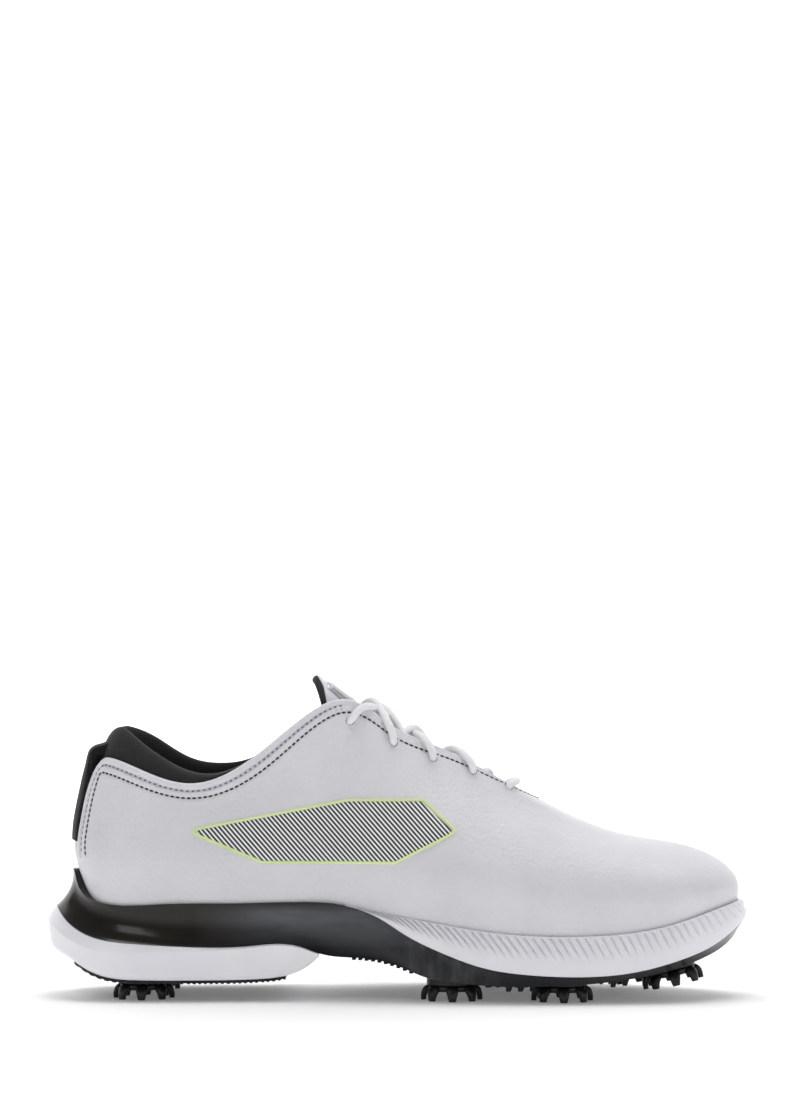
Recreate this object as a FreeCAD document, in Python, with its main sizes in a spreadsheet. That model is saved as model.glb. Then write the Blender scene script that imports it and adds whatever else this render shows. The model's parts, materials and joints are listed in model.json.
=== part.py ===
import FreeCAD, Part
import Sketcher
import math
import os

# Left golf shoe, men's US 9, built as the real one comes apart on a bench.
# Frame: +X to the toe, +Y to the outer (lateral) side, +Z up, millimetres.
# Origin: middle of the shoe's box, on the ground under the spikes.

Vector = FreeCAD.Vector
document = FreeCAD.newDocument("golf_shoe")
sheet = document.addObject("Spreadsheet::Sheet", "sizes")

SIZES = [
    ("leather", 1.4, "thickness of the leather upper"),
    ("stiffener", 1.1, "thickness of counter, puff and eyestay stiffeners"),
    ("lining", 0.8, "thickness of the textile linings"),
    ("seam_gap", 0.12, "air between two glued or stitched layers"),
    ("moulded_gap", 0.1, "extra air outside a moulded stiffener"),
    ("rim_depth", 9.0, "depth of the sole's dish below its rim"),
    ("dish_gap", 0.9, "glue line between upper and sole dish"),
    ("sole_gap", 0.12, "glue line between two sole parts"),
    ("band_width", 7.0, "width of the folded band along the topline"),
    ("band_thickness", 0.6, "thickness of that band"),
    ("pad_thickness", 7.0, "thickest part of the collar pad"),
    ("pad_edge", 1.6, "thickness of the collar pad at its edges"),
    ("collar_rise", 10.5, "height of the collar pad above the leather at the heel"),
    ("tongue_leather", 1.2, "thickness of the tongue's face"),
    ("tongue_foam", 2.6, "thickness of the tongue's padding"),
    ("badge_thickness", 0.9, "thickness of the tongue badge"),
    ("emblem_thickness", 0.5, "thickness of the side panels"),
    ("lace_diameter", 3.4, "round lace"),
    ("lace_rise", 2.3, "air between the tongue and a strand that crosses it"),
    ("eyelet_radius", 2.1, "punched lace hole"),
    ("punch_length", 14.0, "length of the tool that punches a lace hole"),
    ("aglet_length", 17.0, "moulded tip on each lace end"),
    ("aglet_radius", 1.5, "radius of that tip"),
    ("tab_thickness", 1.5, "strap up the back of the heel"),
    ("strobel", 1.4, "board stitched across the bottom of the upper"),
    ("board_margin", 0.5, "play between that board and the lining"),
    ("insole_foam", 4.2, "foam of the removable insole"),
    ("insole_cover", 0.8, "fabric on the insole"),
    ("insole_gap", 1.0, "play between insole and lining"),
    ("floor_play", 0.2, "air between the dish's floor and what lies under it"),
    ("shank", 1.4, "thickness of the shank plate"),
    ("shank_length", 78.0, "length of the shank plate"),
    ("shank_width", 26.0, "width of the shank plate"),
    ("cushion_height", 5.5, "height of an air cushion"),
    ("tread", 2.1, "thickness of the heel tread"),
    ("lug_height", 1.7, "height of a traction lug"),
    ("lug_length", 2.6, "length of a traction lug along the shoe"),
    ("lug_width", 11.0, "width of a traction lug"),
    ("lug_pitch", 4.0, "spacing of the traction lugs"),
    ("spike_length", 6.6, "from the receptacle's face to the leg tips"),
    ("spike_reach", 13.2, "radius over the leg tips"),
    ("spike_gap", 0.1, "air between spike and receptacle"),
    ("hub_radius", 8.0, "spike's centre disc"),
    ("hub_height", 2.7, "height of the centre disc"),
    ("stud_radius", 4.5, "threaded stud of the spike"),
    ("stud_length", 5.4, "length of that stud"),
    ("stud_play", 0.05, "running clearance around the stud"),
    ("leg_ring", 10.2, "outer radius of the ring that carries the legs"),
    ("leg_width", 3.2, "width of one leg"),
    ("leg_count", 8, "legs on a spike"),
    ("wrench_radius", 1.1, "hole for a wrench pin in the hub"),
    ("wrench_circle", 5.6, "radius of the circle of wrench holes"),
    ("flange_radius", 10.6, "receptacle's flange"),
    ("flange_height", 2.2, "thickness of that flange"),
    ("barrel_radius", 7.2, "receptacle's barrel"),
    ("barrel_height", 7.4, "height of the receptacle"),
    ("socket_depth", 6.0, "depth of the threaded hole"),
    ("half_width", 70.0, "half of the side profiles' width before they are trimmed"),
    ("prism_height", 160.0, "height of the plan outlines before they are trimmed"),
]
for row, (alias, value, note) in enumerate(SIZES, start=1):
    sheet.set("A%d" % row, alias.replace("_", " "))
    sheet.set("B%d" % row, str(value))
    sheet.set("C%d" % row, note)
    sheet.setAlias("B%d" % row, alias)
document.recompute()


def size(alias):
    """The value of one driving dimension."""
    return float(sheet.get(alias))


# Table of offsets of the upper: (x, z, lateral y, medial y) at eleven stations, heel centre to toe centre,
# for five levels from the line where it meets the sole to the edge of the collar and throat.
BITE_LINE = [
    (-134.0, 42.5, -2.0, -2.0), (-125.0, 41.0, 21.0, -25.0), (-104.0, 40.5, 30.5, -34.0),
    (-72.0, 40.7, 33.5, -34.0), (-38.0, 41.0, 37.5, -33.5), (-5.0, 37.0, 42.5, -37.0),
    (28.0, 31.0, 47.0, -43.5), (62.0, 27.9, 46.0, -47.3), (97.0, 28.8, 37.5, -44.0),
    (128.0, 35.3, 20.5, -35.5), (148.0, 41.8, -9.0, -9.0),
]
WIDEST_LINE = [
    (-139.0, 61.0, -2.0, -2.0), (-130.0, 60.0, 22.5, -26.5), (-106.0, 59.0, 33.0, -36.0),
    (-73.0, 58.5, 36.5, -36.5), (-40.0, 57.0, 40.0, -36.0), (-7.0, 52.0, 46.0, -41.0),
    (27.0, 46.0, 50.0, -47.5), (62.0, 42.0, 48.5, -50.0), (98.0, 41.5, 39.5, -46.5),
    (130.0, 45.0, 21.5, -37.5), (148.2, 48.0, -9.0, -9.0),
]
SHOULDER_LINE = [
    (-138.2, 76.0, -2.0, -2.0), (-129.5, 75.0, 19.0, -23.0), (-108.0, 73.5, 28.5, -32.0),
    (-77.0, 73.0, 31.5, -33.0), (-45.0, 76.0, 34.0, -33.0), (-14.0, 80.0, 36.0, -34.5),
    (16.0, 72.0, 40.5, -40.5), (50.0, 63.5, 40.0, -42.5), (88.0, 57.5, 32.5, -39.5),
    (120.0, 56.5, 16.0, -31.5), (137.5, 59.6, -8.5, -8.5),
]
CONE_LINE = [
    (-134.8, 91.0, -2.0, -2.0), (-127.5, 88.0, 14.5, -18.5), (-108.0, 84.0, 24.5, -28.0),
    (-80.0, 82.0, 28.0, -30.0), (-50.0, 91.0, 28.0, -29.0), (-20.0, 107.0, 25.5, -26.5),
    (4.0, 96.0, 27.0, -28.0), (32.0, 86.0, 25.0, -27.5), (64.0, 75.0, 19.0, -24.0),
    (88.0, 69.5, 9.0, -18.0), (99.0, 69.0, -5.0, -5.0),
]
TOP_LINE = [
    (-130.0, 101.0, -2.0, -2.0), (-123.5, 101.5, 12.5, -16.5), (-107.0, 95.5, 22.0, -26.0),
    (-85.0, 90.5, 26.0, -29.0), (-58.0, 103.5, 25.5, -27.5), (-24.0, 127.0, 17.5, -19.5),
    (-3.0, 117.0, 15.5, -18.0), (17.0, 107.5, 14.5, -17.0), (36.0, 98.0, 13.0, -15.5),
    (50.0, 90.6, 9.5, -12.5), (57.0, 87.3, -1.5, -1.5),
]
MIDLINE = -2.0

# Side profiles of the sole, (x, z), heel to toe.
CHASSIS_TOP = [
    (-147.0, 39.0), (-145.0, 40.3), (-143.0, 42.6), (-141.6, 47.0), (-140.8, 52.0), (-139.6, 54.0),
    (-138.2, 51.0), (-137.0, 47.8), (-135.0, 44.8), (-132.7, 42.8), (-127.5, 40.8), (-98.0, 40.4),
    (-67.0, 40.7), (-36.0, 41.2),
    (-22.9, 40.2), (-13.6, 37.6), (-5.3, 33.8), (3.5, 28.3), (19.6, 20.6), (35.6, 15.0), (56.8, 11.9),
    (78.0, 11.1), (99.4, 12.7), (120.6, 17.9), (136.5, 24.2), (151.5, 34.3),
]
CHASSIS_BOTTOM = [
    (-151.5, 28.0), (-150.6, 34.0), (-149.2, 37.6), (-147.4, 38.4), (-144.5, 36.2), (-140.0, 32.2),
    (-135.0, 29.2),
    (-129.6, 27.0), (-114.0, 24.4), (-93.0, 23.1), (-62.0, 23.1), (-40.5, 22.9),
    (-31.0, 19.6), (-15.7, 18.0), (1.8, 14.6), (12.0, 10.5), (24.0, 8.4), (40.0, 7.0), (58.0, 6.9),
    (83.0, 8.0), (98.0, 9.7), (112.0, 12.2), (129.0, 17.4), (143.0, 24.4), (151.5, 32.0),
]
WEDGE_BOTTOM = [
    (-151.5, 27.5), (-148.9, 22.8), (-141.0, 18.0), (-129.6, 12.5), (-108.9, 8.9), (-83.0, 8.8),
    (-57.0, 9.3),
    (-45.7, 10.7), (-37.0, 14.4), (-31.2, 19.3),
]
MIDSOLE_TOP = [
    (-22.9, 40.2), (-7.0, 37.0), (14.3, 33.3), (35.6, 29.9), (56.8, 28.0), (78.0, 27.7), (99.4, 29.0),
    (120.6, 33.3), (136.0, 38.0), (151.5, 41.8),
]
# How far each sole part stands out from the upper at the eleven stations.
CHASSIS_FLARE = [11.5, 7.0, 4.5, 3.8, 3.2, 2.8, 3.6, 4.2, 4.2, 3.6, 3.0]
MIDSOLE_FLARE = [3.0, 3.0, 3.0, 3.0, 3.2, 3.2, 4.2, 4.6, 4.6, 3.8, 3.0]
WEDGE_FLARE = [17.0, 12.5, 8.0, 6.5, 5.0, 2.0, 2.0, 2.0, 2.0, 2.0, 2.0]
INSOLE_FLARE = [0.0, 0.0, 0.0, 0.0, 0.0, 0.0, 0.0, 0.0, -0.6, -1.0, -1.2]
TREAD_FLARE = [6.0, 4.5, 4.0, 3.5, 2.5, 0.0, 0.0, 0.0, 0.0, 0.0, 0.0]

# Spikes: name, x, y, height of the receptacle's face, toe-spring tilt in degrees.
SPIKES = [
    ("heel_medial", -107.0, -21.0, 6.6, 0.0),
    ("heel_lateral", -108.0, 19.0, 6.6, 0.0),
    ("arch_medial", 24.0, -29.0, 6.6, 0.0),
    ("ball_medial", 70.5, -33.0, 6.6, 0.0),
    ("toe_medial", 117.0, -26.0, 13.0, 12.0),
    ("ball_lateral", 33.0, 32.0, 6.6, 0.0),
    ("toe_lateral", 106.0, 19.0, 10.6, 10.0),
]

# Lace holes on each side: x of the hole and its distance from the throat's edge, top to bottom.
EYELETS = [(-19.3, 10.5), (-0.6, 10.0), (16.4, 9.5), (33.4, 9.0), (49.0, 8.0)]

# Ridge of the tongue (x, z) from its stitched base to its free top.
TONGUE_RIDGE = [
    (60.0, 80.0), (50.0, 84.6), (36.0, 92.8), (17.0, 103.4), (3.0, 112.0), (-7.5, 119.2), (-22.9, 130.2),
    (-34.5, 138.6),
]
TONGUE_HALF_WIDTH = [(60.0, 11.0), (36.0, 13.0), (3.0, 16.4), (-23.0, 17.0), (-34.5, 18.0)]
TONGUE_DROP = [(60.0, 7.0), (36.0, 18.0), (3.0, 28.0), (-23.0, 34.0), (-34.5, 26.0)]
TONGUE_ARCH = [(60.0, 60.0), (36.0, 76.0), (3.0, 80.0), (-23.0, 72.0), (-34.5, 56.0)]
BADGE_FOOT = -17.0


class Curve:
    """A smooth curve through points at given knots: a natural cubic spline in every coordinate."""

    def __init__(self, knots, points):
        self.knots = knots
        self.columns = list(zip(*points))
        self.bends = [self.second_derivatives(column) for column in self.columns]

    def second_derivatives(self, values):
        knots = self.knots
        count = len(knots)
        ratio = [0.0] * count
        result = [0.0] * count
        for i in range(1, count - 1):
            before = knots[i] - knots[i - 1]
            after = knots[i + 1] - knots[i]
            slope_change = (values[i + 1] - values[i]) / after - (values[i] - values[i - 1]) / before
            pivot = 2.0 * (before + after) - before * ratio[i - 1]
            ratio[i] = after / pivot
            result[i] = (6.0 * slope_change - before * result[i - 1]) / pivot
        for i in range(count - 2, 0, -1):
            result[i] -= ratio[i] * result[i + 1]
        return result

    def at(self, knot):
        knots = self.knots
        i = 0
        while i < len(knots) - 2 and knot > knots[i + 1]:
            i += 1
        span = knots[i + 1] - knots[i]
        right = (knot - knots[i]) / span
        left = 1.0 - right
        values = []
        for column, bend in zip(self.columns, self.bends):
            cubic = (left ** 3 - left) * bend[i] + (right ** 3 - right) * bend[i + 1]
            values.append(left * column[i] + right * column[i + 1] + cubic * span * span / 6.0)
        return values


def chord_knots(points):
    """Knots that grow with the distance between the points."""
    knots = [0.0]
    for before, after in zip(points, points[1:]):
        knots.append(knots[-1] + max(math.dist(before, after), 1e-6))
    return knots


def profile(points):
    """Height as a smooth function of x, from (x, z) points in either direction."""
    ordered = sorted(points)
    curve = Curve([x for x, z in ordered], [(z,) for x, z in ordered])
    return lambda x: curve.at(x)[0]


def around(level):
    """One level's stations all the way round: heel, lateral side, toe, medial side."""
    lateral = [(x, y_out, z) for x, z, y_out, y_in in level]
    medial = [(x, y_in, z) for x, z, y_out, y_in in level[-2:0:-1]]
    return lateral + medial


class Ring:
    """A closed smooth curve round the shoe. A turn of 0 is the heel, 1 the toe, 2 the heel again."""

    WRAP = 5

    def __init__(self, points, knots):
        wrap = self.WRAP
        points = points[-wrap:] + points + points[:wrap + 1]
        knots = [k - 2.0 for k in knots[-wrap:]] + knots + [k + 2.0 for k in knots[:wrap + 1]]
        self.curve = Curve(knots, points)

    def at(self, turn):
        return self.curve.at(turn % 2.0)


LEVELS = [BITE_LINE, WIDEST_LINE, SHOULDER_LINE, CONE_LINE, TOP_LINE]


def station_turns():
    """The turn of each station: the mean distance between stations over all levels and both sides."""
    steps = [0.0] * (len(BITE_LINE) - 1)
    for level in LEVELS:
        ring = around(level)
        total = len(ring)
        for i in range(len(steps)):
            steps[i] += math.dist(ring[i], ring[i + 1]) + math.dist(ring[-i % total], ring[-i - 1])
    turns = [0.0]
    for step in steps:
        turns.append(turns[-1] + step / sum(steps))
    return turns


STATION = station_turns()
TURNS = STATION + [2.0 - turn for turn in STATION[-2:0:-1]]
FEATHER_LINE = [(x, z - size("rim_depth"), y_out, y_in) for x, z, y_out, y_in in BITE_LINE]
RINGS = [Ring(around(level), TURNS) for level in [FEATHER_LINE] + LEVELS]
FEATHER, BITE, WIDEST, SHOULDER, CONE, TOP = range(6)


class Rib:
    """The upper's outer surface along one turn, from the feather edge up to the topline."""

    cache = {}

    def __init__(self, turn):
        points = [ring.at(turn) for ring in RINGS]
        self.knots = chord_knots(points)
        self.length = self.knots[-1]
        self.curve = Curve(self.knots, points)

    @classmethod
    def at_turn(cls, turn):
        key = round(turn % 2.0, 9)
        if key not in cls.cache:
            cls.cache[key] = cls(key)
        return cls.cache[key]

    def height_of(self, level):
        """Distance up the rib of a level, which may lie between two of the table's."""
        low = min(int(level), TOP - 1)
        return self.knots[low] + (level - low) * (self.knots[low + 1] - self.knots[low])

    def point(self, height):
        return Vector(*self.curve.at(height))


def outward(turn, height):
    """Unit normal of the upper's surface, pointing out of the shoe."""
    step = 0.004
    rib = Rib.at_turn(turn)
    share = height / rib.length
    ahead, behind = Rib.at_turn(turn + step), Rib.at_turn(turn - step)
    along = ahead.point(share * ahead.length) - behind.point(share * behind.length)
    up = rib.point(height + 0.5) - rib.point(height - 0.5)
    normal = up.cross(along)
    normal.normalize()
    return normal


def skin_point(turn, height, depth):
    """A point at a depth below the upper's outer surface; a negative depth is outside it."""
    return Rib.at_turn(turn).point(height) - outward(turn, height) * depth


def add_feature(name, shape):
    """A document object whose shape is set in code."""
    feature = document.addObject("Part::Feature", name)
    feature.Label = name
    feature.Shape = shape
    feature.Placement = FreeCAD.Placement()
    return feature


def patch_solid(pairs, closed):
    """A closed solid between pairs of outer and inner surfaces; a closed ring has no end faces."""
    faces = []
    for pair in pairs:
        faces.extend(surface.toShape() for surface in pair)
        bounds = [surface.bounds() for surface in pair]
        for side in (2, 3):
            edges = [s.vIso(b[side]).toShape() for s, b in zip(pair, bounds)]
            faces.append(Part.makeRuledSurface(*edges))
        if not closed:
            for side in (0, 1):
                edges = [s.uIso(b[side]).toShape() for s, b in zip(pair, bounds)]
                faces.append(Part.makeRuledSurface(*edges))
    shell = Part.Compound(faces)
    shell.sewShape(0.005)
    solid = Part.Solid(shell.Shells[0])
    if solid.Volume < 0:
        solid.reverse()
    return solid


def surface_over(place, first_turn, last_turn, rows, columns):
    """A smooth surface over a range of turns; place(turn, share) gives each point, share from 0 to 1."""
    grid = []
    for i in range(rows):
        turn = first_turn + (last_turn - first_turn) * i / (rows - 1)
        grid.append([place(turn, j / (columns - 1)) for j in range(columns)])
    surface = Part.BSplineSurface()
    surface.interpolate(grid)
    return surface


def ring_halves(place, rows, columns):
    """The lateral and the medial half of a surface that closes on itself, rows counted over one half."""
    wrap = 6
    step = 1.0 / rows
    whole = surface_over(place, -wrap * step, 2.0 + wrap * step, 2 * (rows + wrap) + 1, columns)
    knots = whole.getUKnots()
    halves = []
    for start in (wrap, wrap + rows):
        half = whole.copy()
        low, high = whole.bounds()[2:]
        half.segment(knots[start], knots[start + rows], low, high)
        halves.append(half)
    return halves


def layer(first_turn, last_turn, low, high, depth, thickness, rows=24, columns=11):
    """One layer of the upper: low and high give its edges as distances up a rib."""
    def at_depth(below):
        def place(turn, share):
            rib = Rib.at_turn(turn)
            bottom, top = low(rib), high(rib)
            return skin_point(turn, bottom + (top - bottom) * share, below)
        return place

    outer, inner = at_depth(depth), at_depth(depth + thickness)
    if last_turn - first_turn >= 2.0:
        return patch_solid(zip(ring_halves(outer, rows, columns), ring_halves(inner, rows, columns)), True)
    pair = [surface_over(place, first_turn, last_turn, rows, columns) for place in (outer, inner)]
    return patch_solid([pair], False)


def level(number):
    """An edge that follows one level of the table of offsets."""
    return lambda rib: rib.height_of(number)


def below_top(distance):
    """An edge at a distance below the topline."""
    return lambda rib: rib.length - distance


def side_turn(station, side):
    """The turn of a station, whole or between two, on the lateral (+1) or medial (-1) side."""
    low = min(int(station), len(STATION) - 2)
    turn = STATION[low] + (station - low) * (STATION[low + 1] - STATION[low])
    return turn if side > 0 else 2.0 - turn


def turn_at_x(x, side, distance):
    """The turn on one side where the line below the topline passes x."""
    near, far = 0.0, 1.0
    for _ in range(40):
        middle = (near + far) / 2.0
        turn = middle if side > 0 else 2.0 - middle
        rib = Rib.at_turn(turn)
        if rib.point(rib.length - distance).x < x:
            near = middle
        else:
            far = middle
    return near if side > 0 else 2.0 - near


# ---------------------------------------------------------------- parametric helpers

def plan_outline(flares, inset=0.0):
    """The plan of the bite line moved outwards by each station's flare, less an inset, as a closed wire."""
    ring = RINGS[BITE]
    stations = flares + flares[-2:0:-1]
    flare_ring = Ring([(flare,) for flare in stations], TURNS)
    points = []
    count = 56
    for i in range(count):
        turn = 2.0 * i / count
        x, y, z = ring.at(turn)
        ahead, behind = ring.at(turn + 0.003), ring.at(turn - 0.003)
        along = Vector(ahead[0] - behind[0], ahead[1] - behind[1], 0.0)
        along.normalize()
        out = flare_ring.at(turn)[0] - inset
        points.append(Vector(x - along.y * out, y + along.x * out, 0.0))
    curve = Part.BSplineCurve()
    curve.interpolate(points, PeriodicFlag=True)
    return Part.Wire(curve.toShape())


def profile_wire(top, bottom, first_x, last_x, tables=()):
    """A closed wire in the plane y = 0 between two heights, at the tables' stations or at even steps."""
    steps = 26
    margin = 0.8
    if tables:
        xs = {x for table in tables for x, z in table if first_x + margin < x < last_x - margin}
        xs.update((first_x, last_x))
    else:
        xs = {first_x + (last_x - first_x) * i / steps for i in range(steps + 1)}
    edges = []
    for height in (top, bottom):
        curve = Part.BSplineCurve()
        curve.interpolate([Vector(x, 0.0, height(x)) for x in sorted(xs)])
        edges.append(curve.toShape())
    for x in (first_x, last_x):
        edges.append(Part.makeLine(Vector(x, 0.0, bottom(x)), Vector(x, 0.0, top(x))))
    return Part.Wire(Part.__sortEdges__(edges))


def prism(name, wire):
    """A plan outline raised to a solid column."""
    base = add_feature(name + "_outline", wire)
    column = document.addObject("Part::Extrusion", name + "_column")
    column.Base = base
    column.DirMode = "Custom"
    column.Dir = Vector(0, 0, 1)
    column.Solid = True
    column.setExpression("LengthFwd", "sizes.prism_height")
    return column


def slab(name, wire):
    """A side profile widened to a solid across the shoe."""
    base = add_feature(name + "_profile", wire)
    block = document.addObject("Part::Extrusion", name + "_slab")
    block.Base = base
    block.DirMode = "Custom"
    block.Dir = Vector(0, 1, 0)
    block.Solid = True
    block.setExpression("LengthFwd", "sizes.half_width")
    block.setExpression("LengthRev", "sizes.half_width")
    return block


def common(name, first, second):
    """What two solids share."""
    result = document.addObject("Part::Common", name)
    result.Base = first
    result.Tool = second
    result.Label = name
    return result


def cut(name, base, tool):
    """One solid less another."""
    result = document.addObject("Part::Cut", name)
    result.Base = base
    result.Tool = tool
    result.Label = name
    return result


def gather(name, parts):
    """Several solids as one group."""
    result = document.addObject("Part::Compound", name)
    result.Links = parts
    result.Label = name
    return result


def origin_plane(body, role):
    for feature in body.Origin.OriginFeatures:
        if feature.Role == role:
            return feature
    raise ValueError(role)


def new_body(name):
    body = document.addObject("PartDesign::Body", name)
    body.Label = name
    return body


def new_sketch(body, name, role="XY_Plane"):
    sketch = body.newObject("Sketcher::SketchObject", name)
    sketch.AttachmentSupport = [(origin_plane(body, role), "")]
    sketch.MapMode = "FlatFace"
    return sketch


def circle_sketch(body, name, radius_alias, centre=(0.0, 0.0)):
    """A sketch of one circle whose radius follows the sheet."""
    sketch = new_sketch(body, name)
    circle = Part.Circle(Vector(centre[0], centre[1], 0.0), Vector(0, 0, 1), size(radius_alias))
    index = sketch.addGeometry(circle, False)
    constraint = sketch.addConstraint(Sketcher.Constraint("Radius", index, size(radius_alias)))
    sketch.setExpression("Constraints[%d]" % constraint, "sizes." + radius_alias)
    return sketch


def polygon_sketch(body, name, corners, role="XY_Plane"):
    """A sketch of a closed run of straight lines with joined corners."""
    sketch = new_sketch(body, name, role)
    count = len(corners)
    for i in range(count):
        start, end = corners[i], corners[(i + 1) % count]
        sketch.addGeometry(Part.LineSegment(Vector(*start, 0.0), Vector(*end, 0.0)), False)
    for i in range(count):
        sketch.addConstraint(Sketcher.Constraint("Coincident", i, 2, (i + 1) % count, 1))
    return sketch


def stadium_sketch(body, name, length_alias, width_alias):
    """A slot-shaped sketch centred on the origin."""
    sketch = new_sketch(body, name)
    length, width = size(length_alias), size(width_alias)
    radius = width / 2.0
    reach = length / 2.0 - radius
    right_circle = Part.Circle(Vector(reach, 0, 0), Vector(0, 0, 1), radius)
    left_circle = Part.Circle(Vector(-reach, 0, 0), Vector(0, 0, 1), radius)
    line = sketch.addGeometry(Part.LineSegment(Vector(-reach, radius, 0), Vector(reach, radius, 0)), False)
    right = sketch.addGeometry(Part.ArcOfCircle(right_circle, -math.pi / 2, math.pi / 2), False)
    back = sketch.addGeometry(Part.LineSegment(Vector(reach, -radius, 0), Vector(-reach, -radius, 0)), False)
    left = sketch.addGeometry(Part.ArcOfCircle(left_circle, math.pi / 2, 1.5 * math.pi), False)
    joints = [(line, 2, right, 2), (right, 1, back, 1), (back, 2, left, 2), (left, 1, line, 1)]
    for first, first_end, second, second_end in joints:
        sketch.addConstraint(Sketcher.Constraint("Tangent", first, first_end, second, second_end))
    return sketch


def pad(body, name, sketch, length_alias, reversed_pad=False, midplane=False):
    """A pad whose length follows the sheet."""
    feature = body.newObject("PartDesign::Pad", name)
    feature.Profile = sketch
    feature.Reversed = reversed_pad
    if midplane:
        feature.SideType = "Symmetric"
    feature.setExpression("Length", "sizes." + length_alias)
    return feature


def polar_pattern(body, name, feature, count_alias=None, count=None):
    """Copies of a feature round the body's Z axis."""
    pattern = body.newObject("PartDesign::PolarPattern", name)
    pattern.Originals = [feature]
    for axis in body.Origin.OriginFeatures:
        if axis.Role == "Z_Axis":
            pattern.Axis = (axis, [""])
    pattern.Angle = 360
    if count_alias:
        pattern.setExpression("Occurrences", "sizes." + count_alias)
    else:
        pattern.Occurrences = count
    body.Tip = pattern
    return pattern


# ---------------------------------------------------------------- the upper

TAB_TURN = 0.045
LEATHER = size("leather")
SECOND_LAYER = LEATHER + size("seam_gap")
THIRD_LAYER = SECOND_LAYER + size("stiffener") + size("seam_gap")
INNER_FACE = THIRD_LAYER + size("lining")


def eyelet_places():
    """Each lace hole as (side, number, turn, distance up the rib), number 0 at the top."""
    places = []
    for side in (1, -1):
        for number, (x, distance) in enumerate(EYELETS):
            turn = turn_at_x(x, side, distance)
            places.append((side, number, turn, Rib.at_turn(turn).length - distance))
    return places


def punched(name, shape, places):
    """A layer with a round hole punched square through it at each place."""
    blank = add_feature(name + "_blank", shape)
    punches = []
    for side, number, turn, height in places:
        punch_name = "%s_punch_%s_%d" % (name, "lateral" if side > 0 else "medial", number)
        punch = document.addObject("Part::Cylinder", punch_name)
        punch.setExpression("Radius", "sizes.eyelet_radius")
        punch.setExpression("Height", "sizes.punch_length")
        normal = outward(turn, height)
        start = skin_point(turn, height, 0.65 * size("punch_length"))
        punch.Placement = FreeCAD.Placement(start, FreeCAD.Rotation(Vector(0, 0, 1), normal))
        punches.append(punch)
    return cut(name, blank, gather(name + "_punches", punches))


def build_upper(places):
    """Leather shell, stiffeners and linings, from the outside in."""
    nodes = []
    shell = layer(0.0, 2.0, level(FEATHER), level(TOP), 0.0, LEATHER, rows=32, columns=21)
    nodes.append(punched("upper_shell", shell, places))

    counter_end = side_turn(3.2, 1)
    moulded_depth = SECOND_LAYER + size("moulded_gap")
    moulded_thickness = size("stiffener") - 3.0 * size("moulded_gap")
    counter = layer(-counter_end, counter_end, level(FEATHER + 0.05), level(SHOULDER + 0.4),
                    moulded_depth, moulded_thickness)
    nodes.append(add_feature("heel_counter", counter))

    puff = layer(side_turn(8.6, 1), side_turn(8.6, -1), level(FEATHER + 0.2), level(SHOULDER + 0.3),
                 moulded_depth, moulded_thickness, rows=24, columns=17)
    nodes.append(add_feature("toe_puff", puff))

    for name, side in (("eyestay_stiffener_lateral", 1), ("eyestay_stiffener_medial", -1)):
        first, last = sorted((side_turn(5.0, side), side_turn(8.9, side)))
        stay = layer(first, last, below_top(17.0), below_top(1.0), SECOND_LAYER, size("stiffener"), rows=16)
        nodes.append(punched(name, stay, [place for place in places if place[0] == side]))

    vamp = layer(side_turn(4.62, 1), side_turn(4.62, -1), level(FEATHER + 0.1), below_top(0.6),
                 THIRD_LAYER, size("lining"), rows=44, columns=21)
    nodes.append(punched("vamp_lining", vamp, places))

    quarter_end = side_turn(4.55, 1)
    quarter = layer(-quarter_end, quarter_end, level(FEATHER + 0.1), level(SHOULDER + 0.42),
                    THIRD_LAYER, size("lining"), rows=30)
    nodes.append(add_feature("quarter_lining", quarter))

    band = layer(TAB_TURN + 0.006, 2.0 - TAB_TURN - 0.006, below_top(size("band_width")), level(TOP),
                 -size("band_thickness") - size("seam_gap"), size("band_thickness"), rows=64, columns=6)
    nodes.append(add_feature("topline_band", band))
    return nodes


def pad_frame(turn, share):
    """Point on the collar pad's outer face: up the leather, then on above it, leaning inwards."""
    rib = Rib.at_turn(turn)
    start = rib.height_of(SHOULDER + 0.6)
    crest = collar_rise(turn)
    total = rib.length - start + crest
    height = start + total * share
    if height <= rib.length:
        return skin_point(turn, height, SECOND_LAYER)
    edge = skin_point(turn, rib.length, SECOND_LAYER)
    over = height - rib.length
    return edge + Vector(0, 0, over) + inwards(turn) * (0.16 * over)


def collar_rise(turn):
    """How far the collar pad stands above the leather: most at the heel, nothing at its front ends."""
    along = min(turn % 2.0, 2.0 - turn % 2.0) / STATION[4]
    return max(1.0, size("collar_rise") * (1.0 - along ** 3.0))


def inwards(turn):
    """Horizontal direction into the shoe at the topline."""
    rib = Rib.at_turn(turn)
    normal = outward(turn, rib.length - 4.0)
    flat = Vector(-normal.x, -normal.y, 0.0)
    flat.normalize()
    return flat


def pad_swell(share):
    """Thickness of the collar pad from its lower edge (0) to its crest (1)."""
    edge = size("pad_edge")
    return edge + (size("pad_thickness") - edge) * math.sin(math.pi * share) ** 0.9


def collar_shell(outer_depth, inner_depth):
    """A solid between two depths behind the leather; each is a function of the share up the collar."""
    def at_depth(depth):
        return lambda turn, share: pad_frame(turn, share) + inwards(turn) * depth(share)

    reach = STATION[4] * 1.13
    faces = [surface_over(at_depth(depth), -reach, reach, 34, 12) for depth in (outer_depth, inner_depth)]
    return patch_solid([faces], False)


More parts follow.
